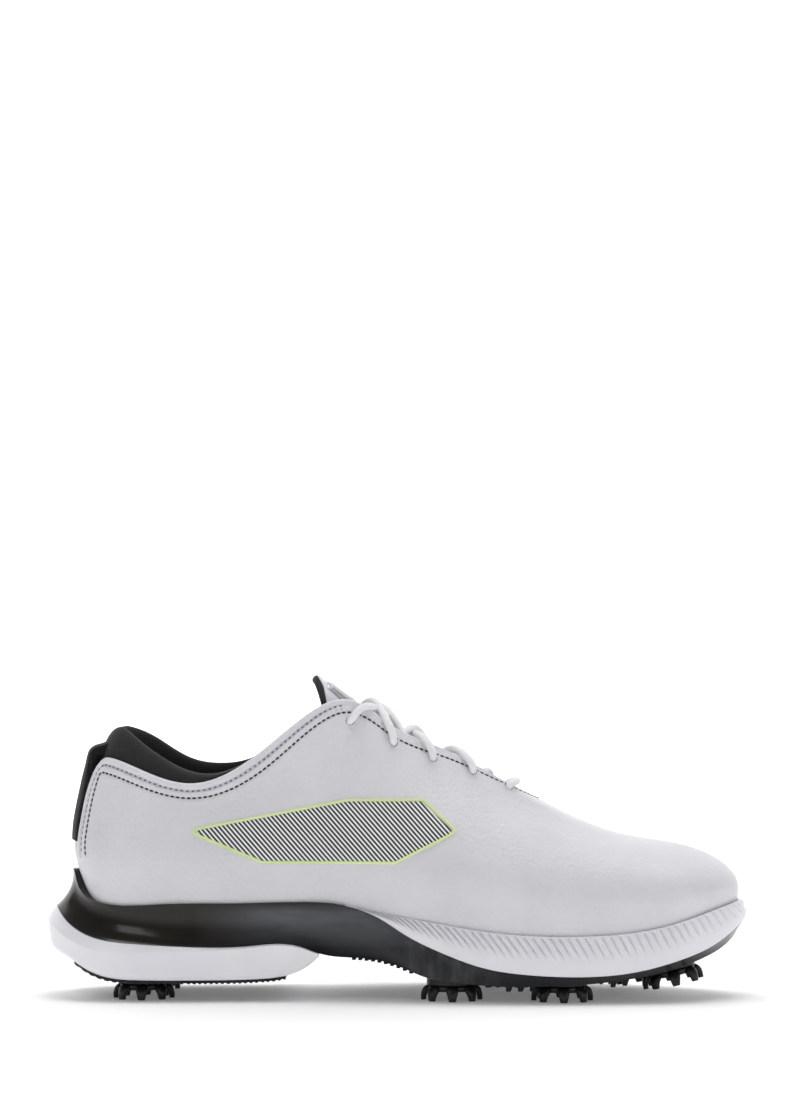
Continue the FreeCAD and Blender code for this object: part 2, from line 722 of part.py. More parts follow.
def build_collar():
    """Foam pad, its fabric, and the strap up the back of the heel."""
    gap, lining = size("seam_gap"), size("lining")
    pad_shape = collar_shell(lambda share: gap, lambda share: gap + pad_swell(share))
    lining_shape = collar_shell(lambda share: 2 * gap + pad_swell(share),
                                lambda share: 2 * gap + pad_swell(share) + lining)
    tab = layer(-TAB_TURN, TAB_TURN, level(WIDEST + 0.4), level(TOP),
                -size("tab_thickness") - gap, size("tab_thickness"), rows=9, columns=12)
    shapes = (("collar_pad", pad_shape), ("collar_lining", lining_shape), ("heel_tab", tab))
    return [add_feature(name, shape) for name, shape in shapes]


EMBLEM_CORNERS = [(-88.0, 71.0), (-20.0, 84.0), (12.0, 84.0), (26.0, 71.0), (0.0, 58.0), (-56.0, 58.0)]


def build_emblems():
    """Slanted six-sided graphic panel on each side of the upper."""
    thickness = size("emblem_thickness")
    depth = -size("seam_gap") - thickness
    nodes = []
    for name, side, shift in (("emblem_medial", -1, 0.0), ("emblem_lateral", 1, -6.0)):
        first, last = sorted((side_turn(2.2, side), side_turn(7.2, side)))
        film = layer(first, last, level(BITE + 0.3), level(CONE), depth, thickness, rows=30)
        skin = add_feature(name + "_skin", film)
        points = [Vector(x + shift, 0.0, z) for x, z in EMBLEM_CORNERS]
        outline = add_feature(name + "_outline", Part.makePolygon(points + points[:1]))
        stencil = document.addObject("Part::Extrusion", name + "_stencil")
        stencil.Base = outline
        stencil.DirMode = "Custom"
        stencil.Dir = Vector(0, side, 0)
        stencil.Solid = True
        stencil.setExpression("LengthFwd", "sizes.half_width")
        nodes.append(common(name, skin, stencil))
    return nodes


# ---------------------------------------------------------------- tongue

ridge_height = profile(TONGUE_RIDGE)
tongue_half_width = profile(TONGUE_HALF_WIDTH)
tongue_drop = profile(TONGUE_DROP)
tongue_arch = profile(TONGUE_ARCH)


def tongue_point(x, share, depth):
    """A point of the tongue: share runs from -1 (medial edge) to 1 (lateral edge) over the arch."""
    angle = share * math.radians(tongue_arch(x))
    width, drop = tongue_half_width(x), tongue_drop(x)
    y = MIDLINE + width * math.sin(angle)
    z = ridge_height(x) - drop * (1.0 - math.cos(angle))
    slope = ridge_height(x + 0.5) - ridge_height(x - 0.5)
    lean = Vector(-slope, 0.0, 1.0)
    lean.normalize()
    sideways = Vector(0.0, drop * math.sin(angle), 0.0)
    upright = lean * (width * math.cos(angle))
    normal = sideways + upright
    normal.normalize()
    return Vector(x, y, z) - normal * depth


def tongue_layer(first_x, last_x, reach, depth, thickness, rows=18, columns=13):
    """One layer of the tongue, from its base to its top, over part of its width."""
    def at_depth(below):
        return lambda x, share: tongue_point(x, reach * (2.0 * share - 1.0), below)

    places = (at_depth(depth), at_depth(depth + thickness))
    return patch_solid([[surface_over(place, first_x, last_x, rows, columns) for place in places]], False)


def build_tongue():
    """Leather face, foam, lining and the badge near the top."""
    gap = size("seam_gap")
    base, top = TONGUE_RIDGE[0][0], TONGUE_RIDGE[-1][0]
    face = size("tongue_leather")
    foam = size("tongue_foam")
    nodes = [
        add_feature("tongue_face", tongue_layer(base, top, 1.0, 0.0, face)),
        add_feature("tongue_foam_pad", tongue_layer(base, top, 0.94, face + gap, foam)),
        add_feature("tongue_lining", tongue_layer(base, top, 1.0, face + foam + 10 * gap, size("lining"))),
        add_feature("tongue_badge", tongue_layer(BADGE_FOOT, top + 1.2, 0.42, -gap - size("badge_thickness"),
                                                 size("badge_thickness"), rows=8, columns=7)),
    ]
    return nodes


# ---------------------------------------------------------------- lace

LACE_RADIUS = size("lace_diameter") / 2.0
LACE_AIR = 0.3
LACE_OVER = -(LACE_RADIUS + LACE_AIR + 0.3)
LACE_OVER_BAND = LACE_OVER - size("band_thickness")
LACE_UNDER = INNER_FACE + LACE_RADIUS + LACE_AIR


def throat_edge(side, x, depth):
    """A point over or under the throat's edge at x."""
    turn = turn_at_x(x, side, 1.2)
    rib = Rib.at_turn(turn)
    return skin_point(turn, rib.length - 1.2, depth)


def over_tongue(x, y, rise):
    """A point above the tongue's ridge line."""
    return Vector(x, MIDLINE + y, ridge_height(x) + rise)


def crossing_rise(lifted):
    """Height of a strand's centre above the tongue; the lifted strand lies over the other one."""
    return LACE_RADIUS + size("lace_rise") + (size("lace_diameter") + LACE_AIR if lifted else 0.0)


def lace_crossing(place, target, lifted):
    """The run from one hole over its facing, across the tongue, under the other facing to the next hole."""
    side, turn, height = place
    other, next_turn, next_height = target
    x_from = skin_point(turn, height, 0.0).x
    x_to = skin_point(next_turn, next_height, 0.0).x
    step = (x_to - x_from) / 4.0
    return [
        skin_point(turn, height, LACE_OVER),
        throat_edge(side, x_from + step * 0.9, LACE_OVER_BAND),
        over_tongue(x_from + 2.0 * step, 0.0, crossing_rise(lifted)),
        throat_edge(other, x_from + 3.1 * step, LACE_UNDER),
        skin_point(next_turn, next_height, LACE_UNDER),
    ]


def first_crossing(place, target, lifted):
    """The run from inside the lowest hole, under its facing, across the tongue, under the other facing."""
    side, turn, height = place
    other, next_turn, next_height = target
    x_middle = (skin_point(turn, height, 0.0).x + skin_point(next_turn, next_height, 0.0).x) / 2.0
    return [
        skin_point(turn, height, LACE_UNDER),
        throat_edge(side, x_middle + 4.0, LACE_UNDER),
        over_tongue(x_middle, 0.0, crossing_rise(lifted)),
        throat_edge(other, x_middle - 4.0, LACE_UNDER),
        skin_point(next_turn, next_height, LACE_UNDER),
    ]


def loose_end(place, lifted):
    """The run from the top hole across the tongue, tucked down inside the other facing."""
    side, turn, height = place
    tucked = turn_at_x(12.0, -side, 10.0)
    length = Rib.at_turn(tucked).length
    return [
        skin_point(turn, height, LACE_OVER),
        throat_edge(side, -13.5, LACE_OVER_BAND - 1.2),
        over_tongue(-3.0, 0.0, crossing_rise(lifted)),
        throat_edge(-side, 7.2, LACE_UNDER),
        skin_point(tucked, length - 9.0, LACE_UNDER),
        skin_point(tucked, length - 17.0, LACE_UNDER),
    ]


def lace_route(places):
    """The whole lace: two strands that leave the bottom bar and cross at every pair of holes."""
    holes = {(side, number): (side, turn, height) for side, number, turn, height in places}
    last = len(EYELETS) - 1
    strands = []
    for side in (1, -1):
        lifted = side > 0
        lowest = holes[(side, last)]
        strand = [skin_point(*lowest[1:], LACE_OVER)]
        strand.extend(first_crossing(lowest, holes[(-side, last - 1)], lifted))
        side = -side
        for number in range(last - 1, 0, -1):
            strand.extend(lace_crossing(holes[(side, number)], holes[(-side, number - 1)], lifted))
            side = -side
        strand.extend(loose_end(holes[(side, 0)], lifted))
        strands.append(strand)
    bar = [over_tongue(54.0, 0.0, 9.4)]
    return list(reversed(strands[0])) + bar + strands[1]


def rounded_path(points, share=0.45):
    """Straight runs joined by tangent arcs, each as large as its two runs allow, as one wire."""
    edges = []
    radii = []
    start = points[0]
    for before, corner, after in zip(points, points[1:], points[2:]):
        towards, away = before - corner, after - corner
        reach = share * min(towards.Length, away.Length)
        towards.normalize()
        away.normalize()
        turn = math.pi - towards.getAngle(away)
        radius = reach / math.tan(turn / 2.0)
        entry, leave = corner + towards * reach, corner + away * reach
        bisector = towards + away
        bisector.normalize()
        middle = corner + bisector * (math.hypot(radius, reach) - radius)
        edges.append(Part.LineSegment(start, entry).toShape())
        edges.append(Part.Arc(entry, middle, leave).toShape())
        radii.append(radius)
        start = leave
    edges.append(Part.LineSegment(start, points[-1]).toShape())
    return Part.Wire(edges), radii


def build_lace(places):
    """The lace as one tube, and a moulded tip on each end."""
    route = lace_route(places)
    path, radii = rounded_path(route)
    direction = path.Edges[0].tangentAt(path.Edges[0].FirstParameter)
    ring = Part.Wire(Part.makeCircle(LACE_RADIUS, path.Edges[0].Vertexes[0].Point, direction))
    tube = path.makePipeShell([ring], True, False)
    expected = math.pi * LACE_RADIUS ** 2 * path.Length
    share = tube.Volume / expected
    print("lace length %.0f, volume share %.4f, tightest arc %.1f" % (path.Length, share, min(radii)))
    nodes = [add_feature("lace", tube)]
    tips = []
    for number, (end, inner) in enumerate(((route[0], route[1]), (route[-1], route[-2]))):
        name = "lace_tip_%d" % number
        body = new_body(name)
        pad(body, name + "_pad", circle_sketch(body, name + "_circle", "aglet_radius"), "aglet_length")
        heading = end - inner
        heading.normalize()
        start = end + heading * size("seam_gap")
        body.Placement = FreeCAD.Placement(start, FreeCAD.Rotation(Vector(0, 0, 1), heading))
        tips.append(body)
    nodes.append(gather("lace_tips", tips))
    return nodes


# ---------------------------------------------------------------- sole

bite_height = profile([(x, z) for x, z, y_out, y_in in BITE_LINE])
chassis_top = profile(CHASSIS_TOP)
chassis_bottom = profile(CHASSIS_BOTTOM)
wedge_bottom = profile(WEDGE_BOTTOM)
midsole_top = profile(MIDSOLE_TOP)
NO_FLARE = [0.0] * len(BITE_LINE)
# A range of x wider than the shoe, for slabs that run its whole length.
ALL_OF_IT = (-150.0, 155.0)
POCKET_OVERRUN = 4.0
AIR_CUSHIONS = [
    ("heel_air_cushion", -97.0, -2.0, 56.0, 46.0),
    ("forefoot_air_cushion", 68.0, 0.0, 48.0, 50.0),
]


def floor_height(x):
    """Bottom of the sole's dish."""
    return bite_height(min(max(x, -134.0), 148.0)) - size("rim_depth")


def raised(height, by):
    return lambda x: height(x) + by


def band(name, top, bottom, span=ALL_OF_IT, tables=()):
    """A slab across the shoe between two height functions."""
    return slab(name, profile_wire(top, bottom, span[0], span[1], tables))


def under_floor(name, outline, thickness, span):
    """A plate of a thickness just under the dish's floor, and the room that is cut for it."""
    play = size("floor_play")
    plate = common(name, outline, band(name + "_band", raised(floor_height, -play),
                                       raised(floor_height, -play - thickness), span))
    room = common(name + "_space", outline, band(name + "_room", raised(floor_height, 1.0),
                                                 raised(floor_height, -play - thickness - 0.05), span))
    return plate, room


def spike_tool(name, radius_alias, height_alias, overrun):
    """A column at every spike, for the pockets that hold the receptacles."""
    columns = []
    for spike, x, y, z, tilt in SPIKES:
        column = document.addObject("Part::Cylinder", "%s_%s" % (name, spike))
        column.setExpression("Radius", "sizes.%s + sizes.sole_gap" % radius_alias)
        column.Height = overrun + size(height_alias) + size("sole_gap")
        column.Placement = spike_placement(x, y, z, tilt, -overrun)
        columns.append(column)
    return gather(name, columns)


def spike_placement(x, y, z, tilt, along=0.0):
    """Where a spike's own frame sits; along moves it along its axis."""
    rotation = FreeCAD.Rotation(Vector(0, 1, 0), -tilt)
    return FreeCAD.Placement(Vector(x, y, z) + rotation.multVec(Vector(0, 0, along)), rotation)


def sole_block(name, flares, top, bottom, span, tables, hollows):
    """A sole part: its plan column cut to its side profile, less what sits inside it."""
    column = prism(name, plan_outline(flares))
    block = common(name + "_block", column, band(name + "_band", top, bottom, span, tables))
    return cut(name, block, gather(name + "_hollows", hollows))


def build_cushion(name, x, y, length, width):
    """An elliptical air cushion under the foot, and the room for it."""
    body = new_body(name + "_outline")
    sketch = new_sketch(body, name + "_sketch")
    ellipse = Part.Ellipse(Vector(0, 0, 0), max(length, width) / 2.0, min(length, width) / 2.0)
    sketch.addGeometry(ellipse, False)
    pad(body, name + "_pad", sketch, "prism_height")
    turn = 0 if length > width else 90
    body.Placement = FreeCAD.Placement(Vector(x, y, 0.0), FreeCAD.Rotation(Vector(0, 0, 1), turn))
    return under_floor(name, body, size("cushion_height"), (x - 40.0, x + 40.0))


def build_shank():
    """Stiff slot-shaped plate under the arch, and the room for it."""
    body = new_body("shank_outline")
    outline = stadium_sketch(body, "shank_sketch", "shank_length", "shank_width")
    pad(body, "shank_pad", outline, "prism_height")
    body.Placement = FreeCAD.Placement(Vector(-26.0, 2.0, 0.0), FreeCAD.Rotation())
    return under_floor("shank_plate", body, size("shank"), (-75.0, 25.0))


def build_sole():
    """Chassis, forefoot midsole, heel wedge, heel tread, shank plate and air cushions."""
    sole_gap = size("sole_gap")
    dish_column = prism("dish", plan_outline([size("dish_gap")] * len(BITE_LINE)))
    dish = common("dish_space", dish_column, band("dish_band", lambda x: 120.0, raised(floor_height, -0.1)))
    flange_holes = spike_tool("flange_pockets", "flange_radius", "flange_height", POCKET_OVERRUN)
    barrel_holes = spike_tool("barrel_pockets", "barrel_radius", "barrel_height", 0.0)
    sockets = gather("receptacle_pockets", [flange_holes, barrel_holes])
    shank, shank_space = build_shank()
    cushions = [build_cushion(*spec) for spec in AIR_CUSHIONS]

    chassis = sole_block("sole_chassis", CHASSIS_FLARE, chassis_top, chassis_bottom, (-146.8, 151.4),
                         [CHASSIS_TOP, CHASSIS_BOTTOM, MIDSOLE_TOP],
                         [dish, sockets, shank_space, cushions[0][1]])
    midsole = sole_block("forefoot_midsole", MIDSOLE_FLARE, midsole_top, raised(chassis_top, sole_gap),
                         (-20.8, 151.4), [CHASSIS_TOP, CHASSIS_BOTTOM, MIDSOLE_TOP],
                         [dish, sockets, shank_space, cushions[1][1]])
    wedge = sole_block("heel_wedge", WEDGE_FLARE, raised(chassis_bottom, -sole_gap), wedge_bottom,
                       (-151.4, -31.9), [CHASSIS_BOTTOM, WEDGE_BOTTOM], [sockets])
    tread = sole_block("heel_tread", TREAD_FLARE, raised(wedge_bottom, -sole_gap),
                       raised(wedge_bottom, -size("tread")), (-136.0, -44.0), (), [sockets])
    return [chassis, midsole, wedge, tread, shank] + [cushion for cushion, space in cushions]


def build_footbed():
    """Board stitched across the bottom of the upper, and the removable insole on it."""
    board_inset = INNER_FACE + size("board_margin")
    board_column = prism("board", plan_outline(NO_FLARE, board_inset))
    insole_column = prism("insole", plan_outline(INSOLE_FLARE, board_inset + size("insole_gap")))
    nodes = []
    bottom = 0.1
    for name, column, thickness, gap in (("strobel_board", board_column, "strobel", 0.2),
                                         ("insole_foam_bed", insole_column, "insole_foam", size("seam_gap")),
                                         ("insole_top_cover", insole_column, "insole_cover", 0.0)):
        top = bottom + size(thickness)
        nodes.append(common(name, column, band(name + "_band", raised(floor_height, top),
                                               raised(floor_height, bottom))))
        bottom = top + gap
    return nodes


# Rows of traction lugs: name, x of the first, how many, y of the row.
LUG_ROWS = [
    ("arch", -14.0, 4, -12.0),
    ("ball", 44.0, 4, -26.0),
    ("middle", 44.0, 4, 6.0),
    ("toe", 88.0, 3, -24.0),
]


def build_lug(name, x, y):
    """One lug, hanging from the lowest part of the chassis above it."""
    body = new_body("lug_" + name)
    length, width = size("lug_length") / 2.0, size("lug_width") / 2.0
    corners = [(-length, -width), (length, -width), (length, width), (-length, width)]
    pad(body, "lug_pad_" + name, polygon_sketch(body, "lug_sketch_" + name, corners), "lug_height", True)
    height = min(chassis_bottom(x + reach) for reach in (-length, 0.0, length)) - size("sole_gap")
    body.Placement = FreeCAD.Placement(Vector(x, y, height), FreeCAD.Rotation())
    return body


def build_lugs():
    """Rows of small traction lugs under the arch and between the forefoot spikes."""
    lugs = []
    for name, first_x, count, y in LUG_ROWS:
        for number in range(count):
            lugs.append(build_lug("%s_%d" % (name, number), first_x + size("lug_pitch") * number, y))
    return [gather("traction_lugs", lugs)]


# ---------------------------------------------------------------- spikes

def build_receptacle(name, placement):
    """Flanged, threaded insert moulded into the outsole; its face is at z = 0 of its own frame."""
    body = new_body(name)
    for part in ("flange", "barrel"):
        circle = circle_sketch(body, "%s_%s_circle" % (name, part), part + "_radius")
        pad(body, "%s_%s" % (name, part), circle, part + "_height")
    document.recompute()
    solid_volume = body.Shape.Volume
    socket = body.newObject("PartDesign::Pocket", name + "_socket")
    socket.Profile = circle_sketch(body, name + "_socket_circle", "stud_radius")
    socket.Profile[0].setExpression("Constraints[0]", "sizes.stud_radius + sizes.stud_play")
    socket.Reversed = True
    socket.setExpression("Length", "sizes.socket_depth")
    body.Tip = socket
    body.Placement = placement
    document.recompute()
    if body.Shape.Volume >= solid_volume:
        raise ValueError("the socket of %s cuts nothing" % name)
    return body


def build_spike_core(name, placement):
    """Hub disc under the receptacle, threaded stud above it, three wrench holes."""
    body = new_body(name)
    pad(body, name + "_hub", circle_sketch(body, name + "_hub_circle", "hub_radius"), "hub_height", True)
    pad(body, name + "_stud", circle_sketch(body, name + "_stud_circle", "stud_radius"), "stud_length")
    document.recompute()
    solid_volume = body.Shape.Volume
    wrench = body.newObject("PartDesign::Pocket", name + "_wrench")
    wrench.Profile = circle_sketch(body, name + "_wrench_circle", "wrench_radius",
                                   (size("wrench_circle"), 0.0))
    wrench.Type = "ThroughAll"
    polar_pattern(body, name + "_wrench_holes", wrench, count=3)
    body.Placement = placement
    document.recompute()
    if body.Shape.Volume >= solid_volume:
        raise ValueError("the wrench holes of %s cut nothing" % name)
    return body


def build_spike_legs(name, placement):
    """Soft ring pressed round the hub, with splayed legs that reach the ground."""
    body = new_body(name)
    ring = new_sketch(body, name + "_ring_sketch")
    for radius_alias, extra in (("leg_ring", 0.0), ("hub_radius", size("stud_play"))):
        circle = Part.Circle(Vector(0, 0, 0), Vector(0, 0, 1), size(radius_alias) + extra)
        index = ring.addGeometry(circle, False)
        constraint = ring.addConstraint(Sketcher.Constraint("Radius", index, size(radius_alias) + extra))
        if extra:
            ring.setExpression("Constraints[%d]" % constraint, "sizes.hub_radius + sizes.stud_play")
        else:
            ring.setExpression("Constraints[%d]" % constraint, "sizes." + radius_alias)
    pad(body, name + "_ring", ring, "hub_height", True)
    tip, outer, inner = size("spike_length"), size("spike_reach"), size("leg_ring") - 1.2
    corners = [(inner, -0.1), (outer - 1.6, -0.6), (outer - 0.3, -2.4), (outer, -tip), (outer - 2.2, -tip),
               (outer - 2.9, -3.4), (inner, -size("hub_height"))]
    outline = polygon_sketch(body, name + "_leg_sketch", corners, "XZ_Plane")
    leg = pad(body, name + "_leg", outline, "leg_width", midplane=True)
    polar_pattern(body, name + "_all_legs", leg, count_alias="leg_count")
    body.Placement = placement
    return body


def build_spikes():
    """A receptacle, a core and a ring of legs at each spike's place."""
    nodes = []
    receptacles = []
    for name, x, y, z, tilt in SPIKES:
        receptacles.append(build_receptacle("receptacle_" + name, spike_placement(x, y, z, tilt)))
        placement = spike_placement(x, y, z, tilt, -size("spike_gap"))
        nodes.append(build_spike_core("spike_core_" + name, placement))
        nodes.append(build_spike_legs("spike_legs_" + name, spike_placement(x, y, z, tilt)))
    nodes.append(gather("spike_receptacles", receptacles))
    return nodes


# ---------------------------------------------------------------- assembly

def export(nodes):
    """Check every object and write each sub-part to its own file."""
    document.recompute()
    for item in document.Objects:
        if "Invalid" in item.State or "Error" in item.State:
            raise ValueError("%s failed: %s" % (item.Name, item.State))
    os.makedirs("parts", exist_ok=True)
    for node in nodes:
        shape = node.Shape
        if shape.isNull() or not shape.isValid() or shape.Volume <= 0:
            raise ValueError("%s has no valid solid" % node.Label)
        shape.exportStep("parts/%s.step" % node.Label)
    box = FreeCAD.BoundBox()
    for node in nodes:
        box.add(node.Shape.BoundBox)
    print("%d sub-parts, x %.2f %.2f, y %.2f %.2f, z %.2f %.2f"
          % (len(nodes), box.XMin, box.XMax, box.YMin, box.YMax, box.ZMin, box.ZMax))


eyelets = eyelet_places()
export(build_upper(eyelets) + build_collar() + build_emblems() + build_tongue() + build_lace(eyelets)
       + build_sole() + build_footbed() + build_lugs() + build_spikes())
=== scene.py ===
import json
import math

import bmesh
import bpy
import numpy as np
from mathutils import Matrix


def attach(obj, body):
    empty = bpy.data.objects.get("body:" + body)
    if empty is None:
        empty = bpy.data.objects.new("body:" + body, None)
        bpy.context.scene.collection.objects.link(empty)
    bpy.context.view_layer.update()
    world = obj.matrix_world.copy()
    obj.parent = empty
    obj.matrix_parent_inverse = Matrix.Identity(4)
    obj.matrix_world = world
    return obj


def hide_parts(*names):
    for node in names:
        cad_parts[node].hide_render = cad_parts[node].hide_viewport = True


# Left golf shoe. The frame and everything worked out here share one place and scale: +X to the toe,
# +Y to the outer (lateral) side, +Z up. The shapes below are worked out in millimetres, as the CAD part
# is, and become metres when a mesh is made.

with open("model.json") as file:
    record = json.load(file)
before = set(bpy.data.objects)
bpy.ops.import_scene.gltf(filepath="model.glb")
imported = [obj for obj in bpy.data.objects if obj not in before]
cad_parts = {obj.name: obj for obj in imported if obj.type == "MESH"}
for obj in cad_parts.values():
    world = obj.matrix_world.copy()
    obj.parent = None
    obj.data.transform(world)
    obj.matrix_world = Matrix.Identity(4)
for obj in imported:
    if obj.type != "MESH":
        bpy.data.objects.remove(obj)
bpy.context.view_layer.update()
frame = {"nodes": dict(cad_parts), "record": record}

MM = 0.001
WELD = 0.004 * MM
UP = np.array([0.0, 0.0, 1.0])

# ---------------------------------------------------------------- driving dimensions

# Table of offsets of the upper: (x, z, lateral y, medial y) at eleven stations, heel centre to toe centre,
# for five levels from the line where it meets the sole to the edge of the collar and throat.
BITE_LINE = [
    (-134.0, 42.5, -2.0, -2.0), (-125.0, 41.0, 21.0, -25.0), (-104.0, 40.5, 30.5, -34.0),
    (-72.0, 40.7, 33.5, -34.0), (-38.0, 41.0, 37.5, -33.5), (-5.0, 37.0, 42.5, -37.0),
    (28.0, 31.0, 47.0, -43.5), (62.0, 27.9, 46.0, -47.3), (97.0, 28.8, 37.5, -44.0),
    (128.0, 35.3, 20.5, -35.5), (148.0, 41.8, -9.0, -9.0),
]
WIDEST_LINE = [
    (-139.0, 61.0, -2.0, -2.0), (-130.0, 60.0, 22.5, -26.5), (-106.0, 59.0, 33.0, -36.0),
    (-73.0, 58.5, 36.5, -36.5), (-40.0, 57.0, 40.0, -36.0), (-7.0, 52.0, 46.0, -41.0),
    (27.0, 46.0, 50.0, -47.5), (62.0, 42.0, 48.5, -50.0), (98.0, 41.5, 39.5, -46.5),
    (130.0, 45.0, 21.5, -37.5), (148.2, 48.0, -9.0, -9.0),
]
SHOULDER_LINE = [
    (-138.2, 76.0, -2.0, -2.0), (-129.5, 75.0, 19.0, -23.0), (-108.0, 73.5, 28.5, -32.0),
    (-77.0, 73.0, 31.5, -33.0), (-45.0, 76.0, 34.0, -33.0), (-14.0, 80.0, 36.0, -34.5),
    (16.0, 72.0, 40.5, -40.5), (50.0, 63.5, 40.0, -42.5), (88.0, 57.5, 32.5, -39.5),
    (120.0, 56.5, 16.0, -31.5), (137.5, 59.6, -8.5, -8.5),
]
CONE_LINE = [
    (-134.8, 91.0, -2.0, -2.0), (-127.5, 88.0, 14.5, -18.5), (-108.0, 84.0, 24.5, -28.0),
    (-80.0, 82.0, 28.0, -30.0), (-50.0, 91.0, 28.0, -29.0), (-20.0, 107.0, 25.5, -26.5),
    (4.0, 96.0, 27.0, -28.0), (32.0, 86.0, 25.0, -27.5), (64.0, 75.0, 19.0, -24.0),
    (88.0, 69.5, 9.0, -18.0), (99.0, 69.0, -5.0, -5.0),
]
TOP_LINE = [
    (-130.0, 101.0, -2.0, -2.0), (-123.5, 101.5, 12.5, -16.5), (-107.0, 95.5, 22.0, -26.0),
    (-85.0, 90.5, 26.0, -29.0), (-58.0, 103.5, 25.5, -27.5), (-24.0, 127.0, 17.5, -19.5),
    (-3.0, 117.0, 15.5, -18.0), (17.0, 107.5, 14.5, -17.0), (36.0, 98.0, 13.0, -15.5),
    (50.0, 90.6, 9.5, -12.5), (57.0, 87.3, -1.5, -1.5),
]
LEVELS = [BITE_LINE, WIDEST_LINE, SHOULDER_LINE, CONE_LINE, TOP_LINE]
MIDLINE = -2.0
RIM_DEPTH = 9.0
DISH_GAP = 0.3

# Side profiles of the sole, (x, z), heel to toe.
CHASSIS_TOP = [
    (-147.0, 39.0), (-145.0, 40.3), (-143.0, 42.6), (-141.6, 47.0), (-140.8, 52.0), (-139.6, 54.0),
    (-138.2, 51.0), (-137.0, 47.8), (-135.0, 44.8), (-132.7, 42.8), (-127.5, 40.8), (-98.0, 40.4),
    (-67.0, 40.7), (-36.0, 41.2), (-22.9, 40.2), (-13.6, 37.6), (-5.3, 33.8), (3.5, 28.3), (19.6, 20.6),
    (35.6, 15.0), (56.8, 11.9), (78.0, 11.1), (99.4, 12.7), (120.6, 17.9), (136.5, 24.2), (151.5, 34.3),
]
CHASSIS_BOTTOM = [
    (-151.5, 28.0), (-150.6, 34.0), (-149.2, 37.6), (-147.4, 38.4), (-144.5, 36.2), (-140.0, 32.2),
    (-135.0, 29.2), (-129.6, 27.0), (-114.0, 24.4), (-93.0, 23.1), (-62.0, 23.1), (-40.5, 22.9),
    (-31.0, 19.6), (-15.7, 18.0), (1.8, 14.6), (12.0, 10.5), (24.0, 8.4), (40.0, 7.0), (58.0, 6.9),
    (83.0, 8.0), (98.0, 9.7), (112.0, 12.2), (129.0, 17.4), (143.0, 24.4), (151.5, 32.0),
]
WEDGE_BOTTOM = [
    (-151.5, 27.5), (-148.9, 22.8), (-141.0, 18.0), (-129.6, 12.5), (-108.9, 8.9), (-83.0, 8.8),
    (-57.0, 9.3), (-45.7, 10.7), (-37.0, 14.4), (-31.2, 19.3),
]
MIDSOLE_TOP = [
    (-22.9, 40.2), (-7.0, 37.0), (14.3, 33.3), (35.6, 29.9), (56.8, 28.0), (78.0, 27.7), (99.4, 29.0),
    (120.6, 33.3), (136.0, 38.0), (151.5, 41.8),
]

# How far the edges of the sole's walls stand out from the bite line at the eleven stations.
CHASSIS_LOW = [13.0, 8.8, 5.6, 4.6, 3.0, 0.8, 0.4, 0.2, 0.2, 0.0, -0.6]
CHASSIS_HIGH = [6.3, 1.9, 1.3, 1.2, 1.5, 2.8, 4.0, 4.4, 4.4, 3.8, 3.0]
WEDGE_LOW = [12.2, 9.2, 5.6, 4.6, 3.4, 1.0, 0.0, 0.0, 0.0, 0.0, 0.0]
WEDGE_HIGH = [13.0, 9.2, 6.0, 5.0, 3.4, 1.0, 0.0, 0.0, 0.0, 0.0, 0.0]
WEDGE_SWELL = [4.0, 3.1, 2.1, 1.7, 1.2, 0.4, 0.0, 0.0, 0.0, 0.0, 0.0]
MIDSOLE_HIGH = [1.2, 1.2, 1.2, 1.2, 1.0, 1.0, 1.3, 1.5, 1.5, 1.5, 1.8]

# Spikes: name, x, y, height of the receptacle's face, toe-spring tilt in degrees.
SPIKES = [
    ("heel_medial", -107.0, -21.0, 6.6, 0.0),
    ("heel_lateral", -108.0, 19.0, 6.6, 0.0),
    ("arch_medial", 24.0, -29.0, 6.6, 0.0),
    ("ball_medial", 70.5, -33.0, 6.6, 0.0),
    ("toe_medial", 117.0, -26.0, 13.0, 12.0),
    ("ball_lateral", 33.0, 32.0, 6.6, 0.0),
    ("toe_lateral", 106.0, 19.0, 10.6, 10.0),
]

# Lace holes on each side: x of the hole and its distance from the throat's edge, top to bottom.
EYELETS = [(-19.3, 10.5), (-0.6, 10.0), (16.4, 9.5), (33.4, 9.0), (49.0, 8.0)]

# Ridge of the tongue (x, z) from its stitched base to its free top, and its width and arch along it.
TONGUE_RIDGE = [
    (60.0, 80.0), (50.0, 84.6), (36.0, 92.8), (17.0, 103.4), (3.0, 112.0), (-7.5, 119.2), (-22.9, 130.2),
    (-34.5, 138.6),
]
TONGUE_HALF_WIDTH = [(60.0, 11.0), (36.0, 13.0), (3.0, 16.4), (-23.0, 17.0), (-34.5, 18.0)]
TONGUE_DROP = [(60.0, 7.0), (36.0, 18.0), (3.0, 28.0), (-23.0, 34.0), (-34.5, 26.0)]
TONGUE_ARCH = [(60.0, 60.0), (36.0, 76.0), (3.0, 80.0), (-23.0, 72.0), (-34.5, 56.0)]

LEATHER = 1.4
INNER_FACE = 3.54
LACE_RADIUS = 1.65
TAB_TURN = 0.045
CORNER_RADIUS = 8.5
TAB_FOOT = 59.0
STITCH_DISTANCE = 6.3

# ---------------------------------------------------------------- curves and surfaces


def unit(vectors):
    return vectors / np.linalg.norm(vectors, axis=-1, keepdims=True)


def smooth_step(values, low, high):
    """0 below low, 1 above high, with a soft change between."""
    share = np.clip((values - low) / (high - low), 0.0, 1.0)
    return share * share * (3.0 - 2.0 * share)


def circle(count):
    """Evenly spread angles round a full turn."""
    return np.arange(count) * 2.0 * math.pi / count


def hump(values, centre, width):
    """A soft bump of height 1."""
    return np.exp(-((values - centre) / width) ** 2)


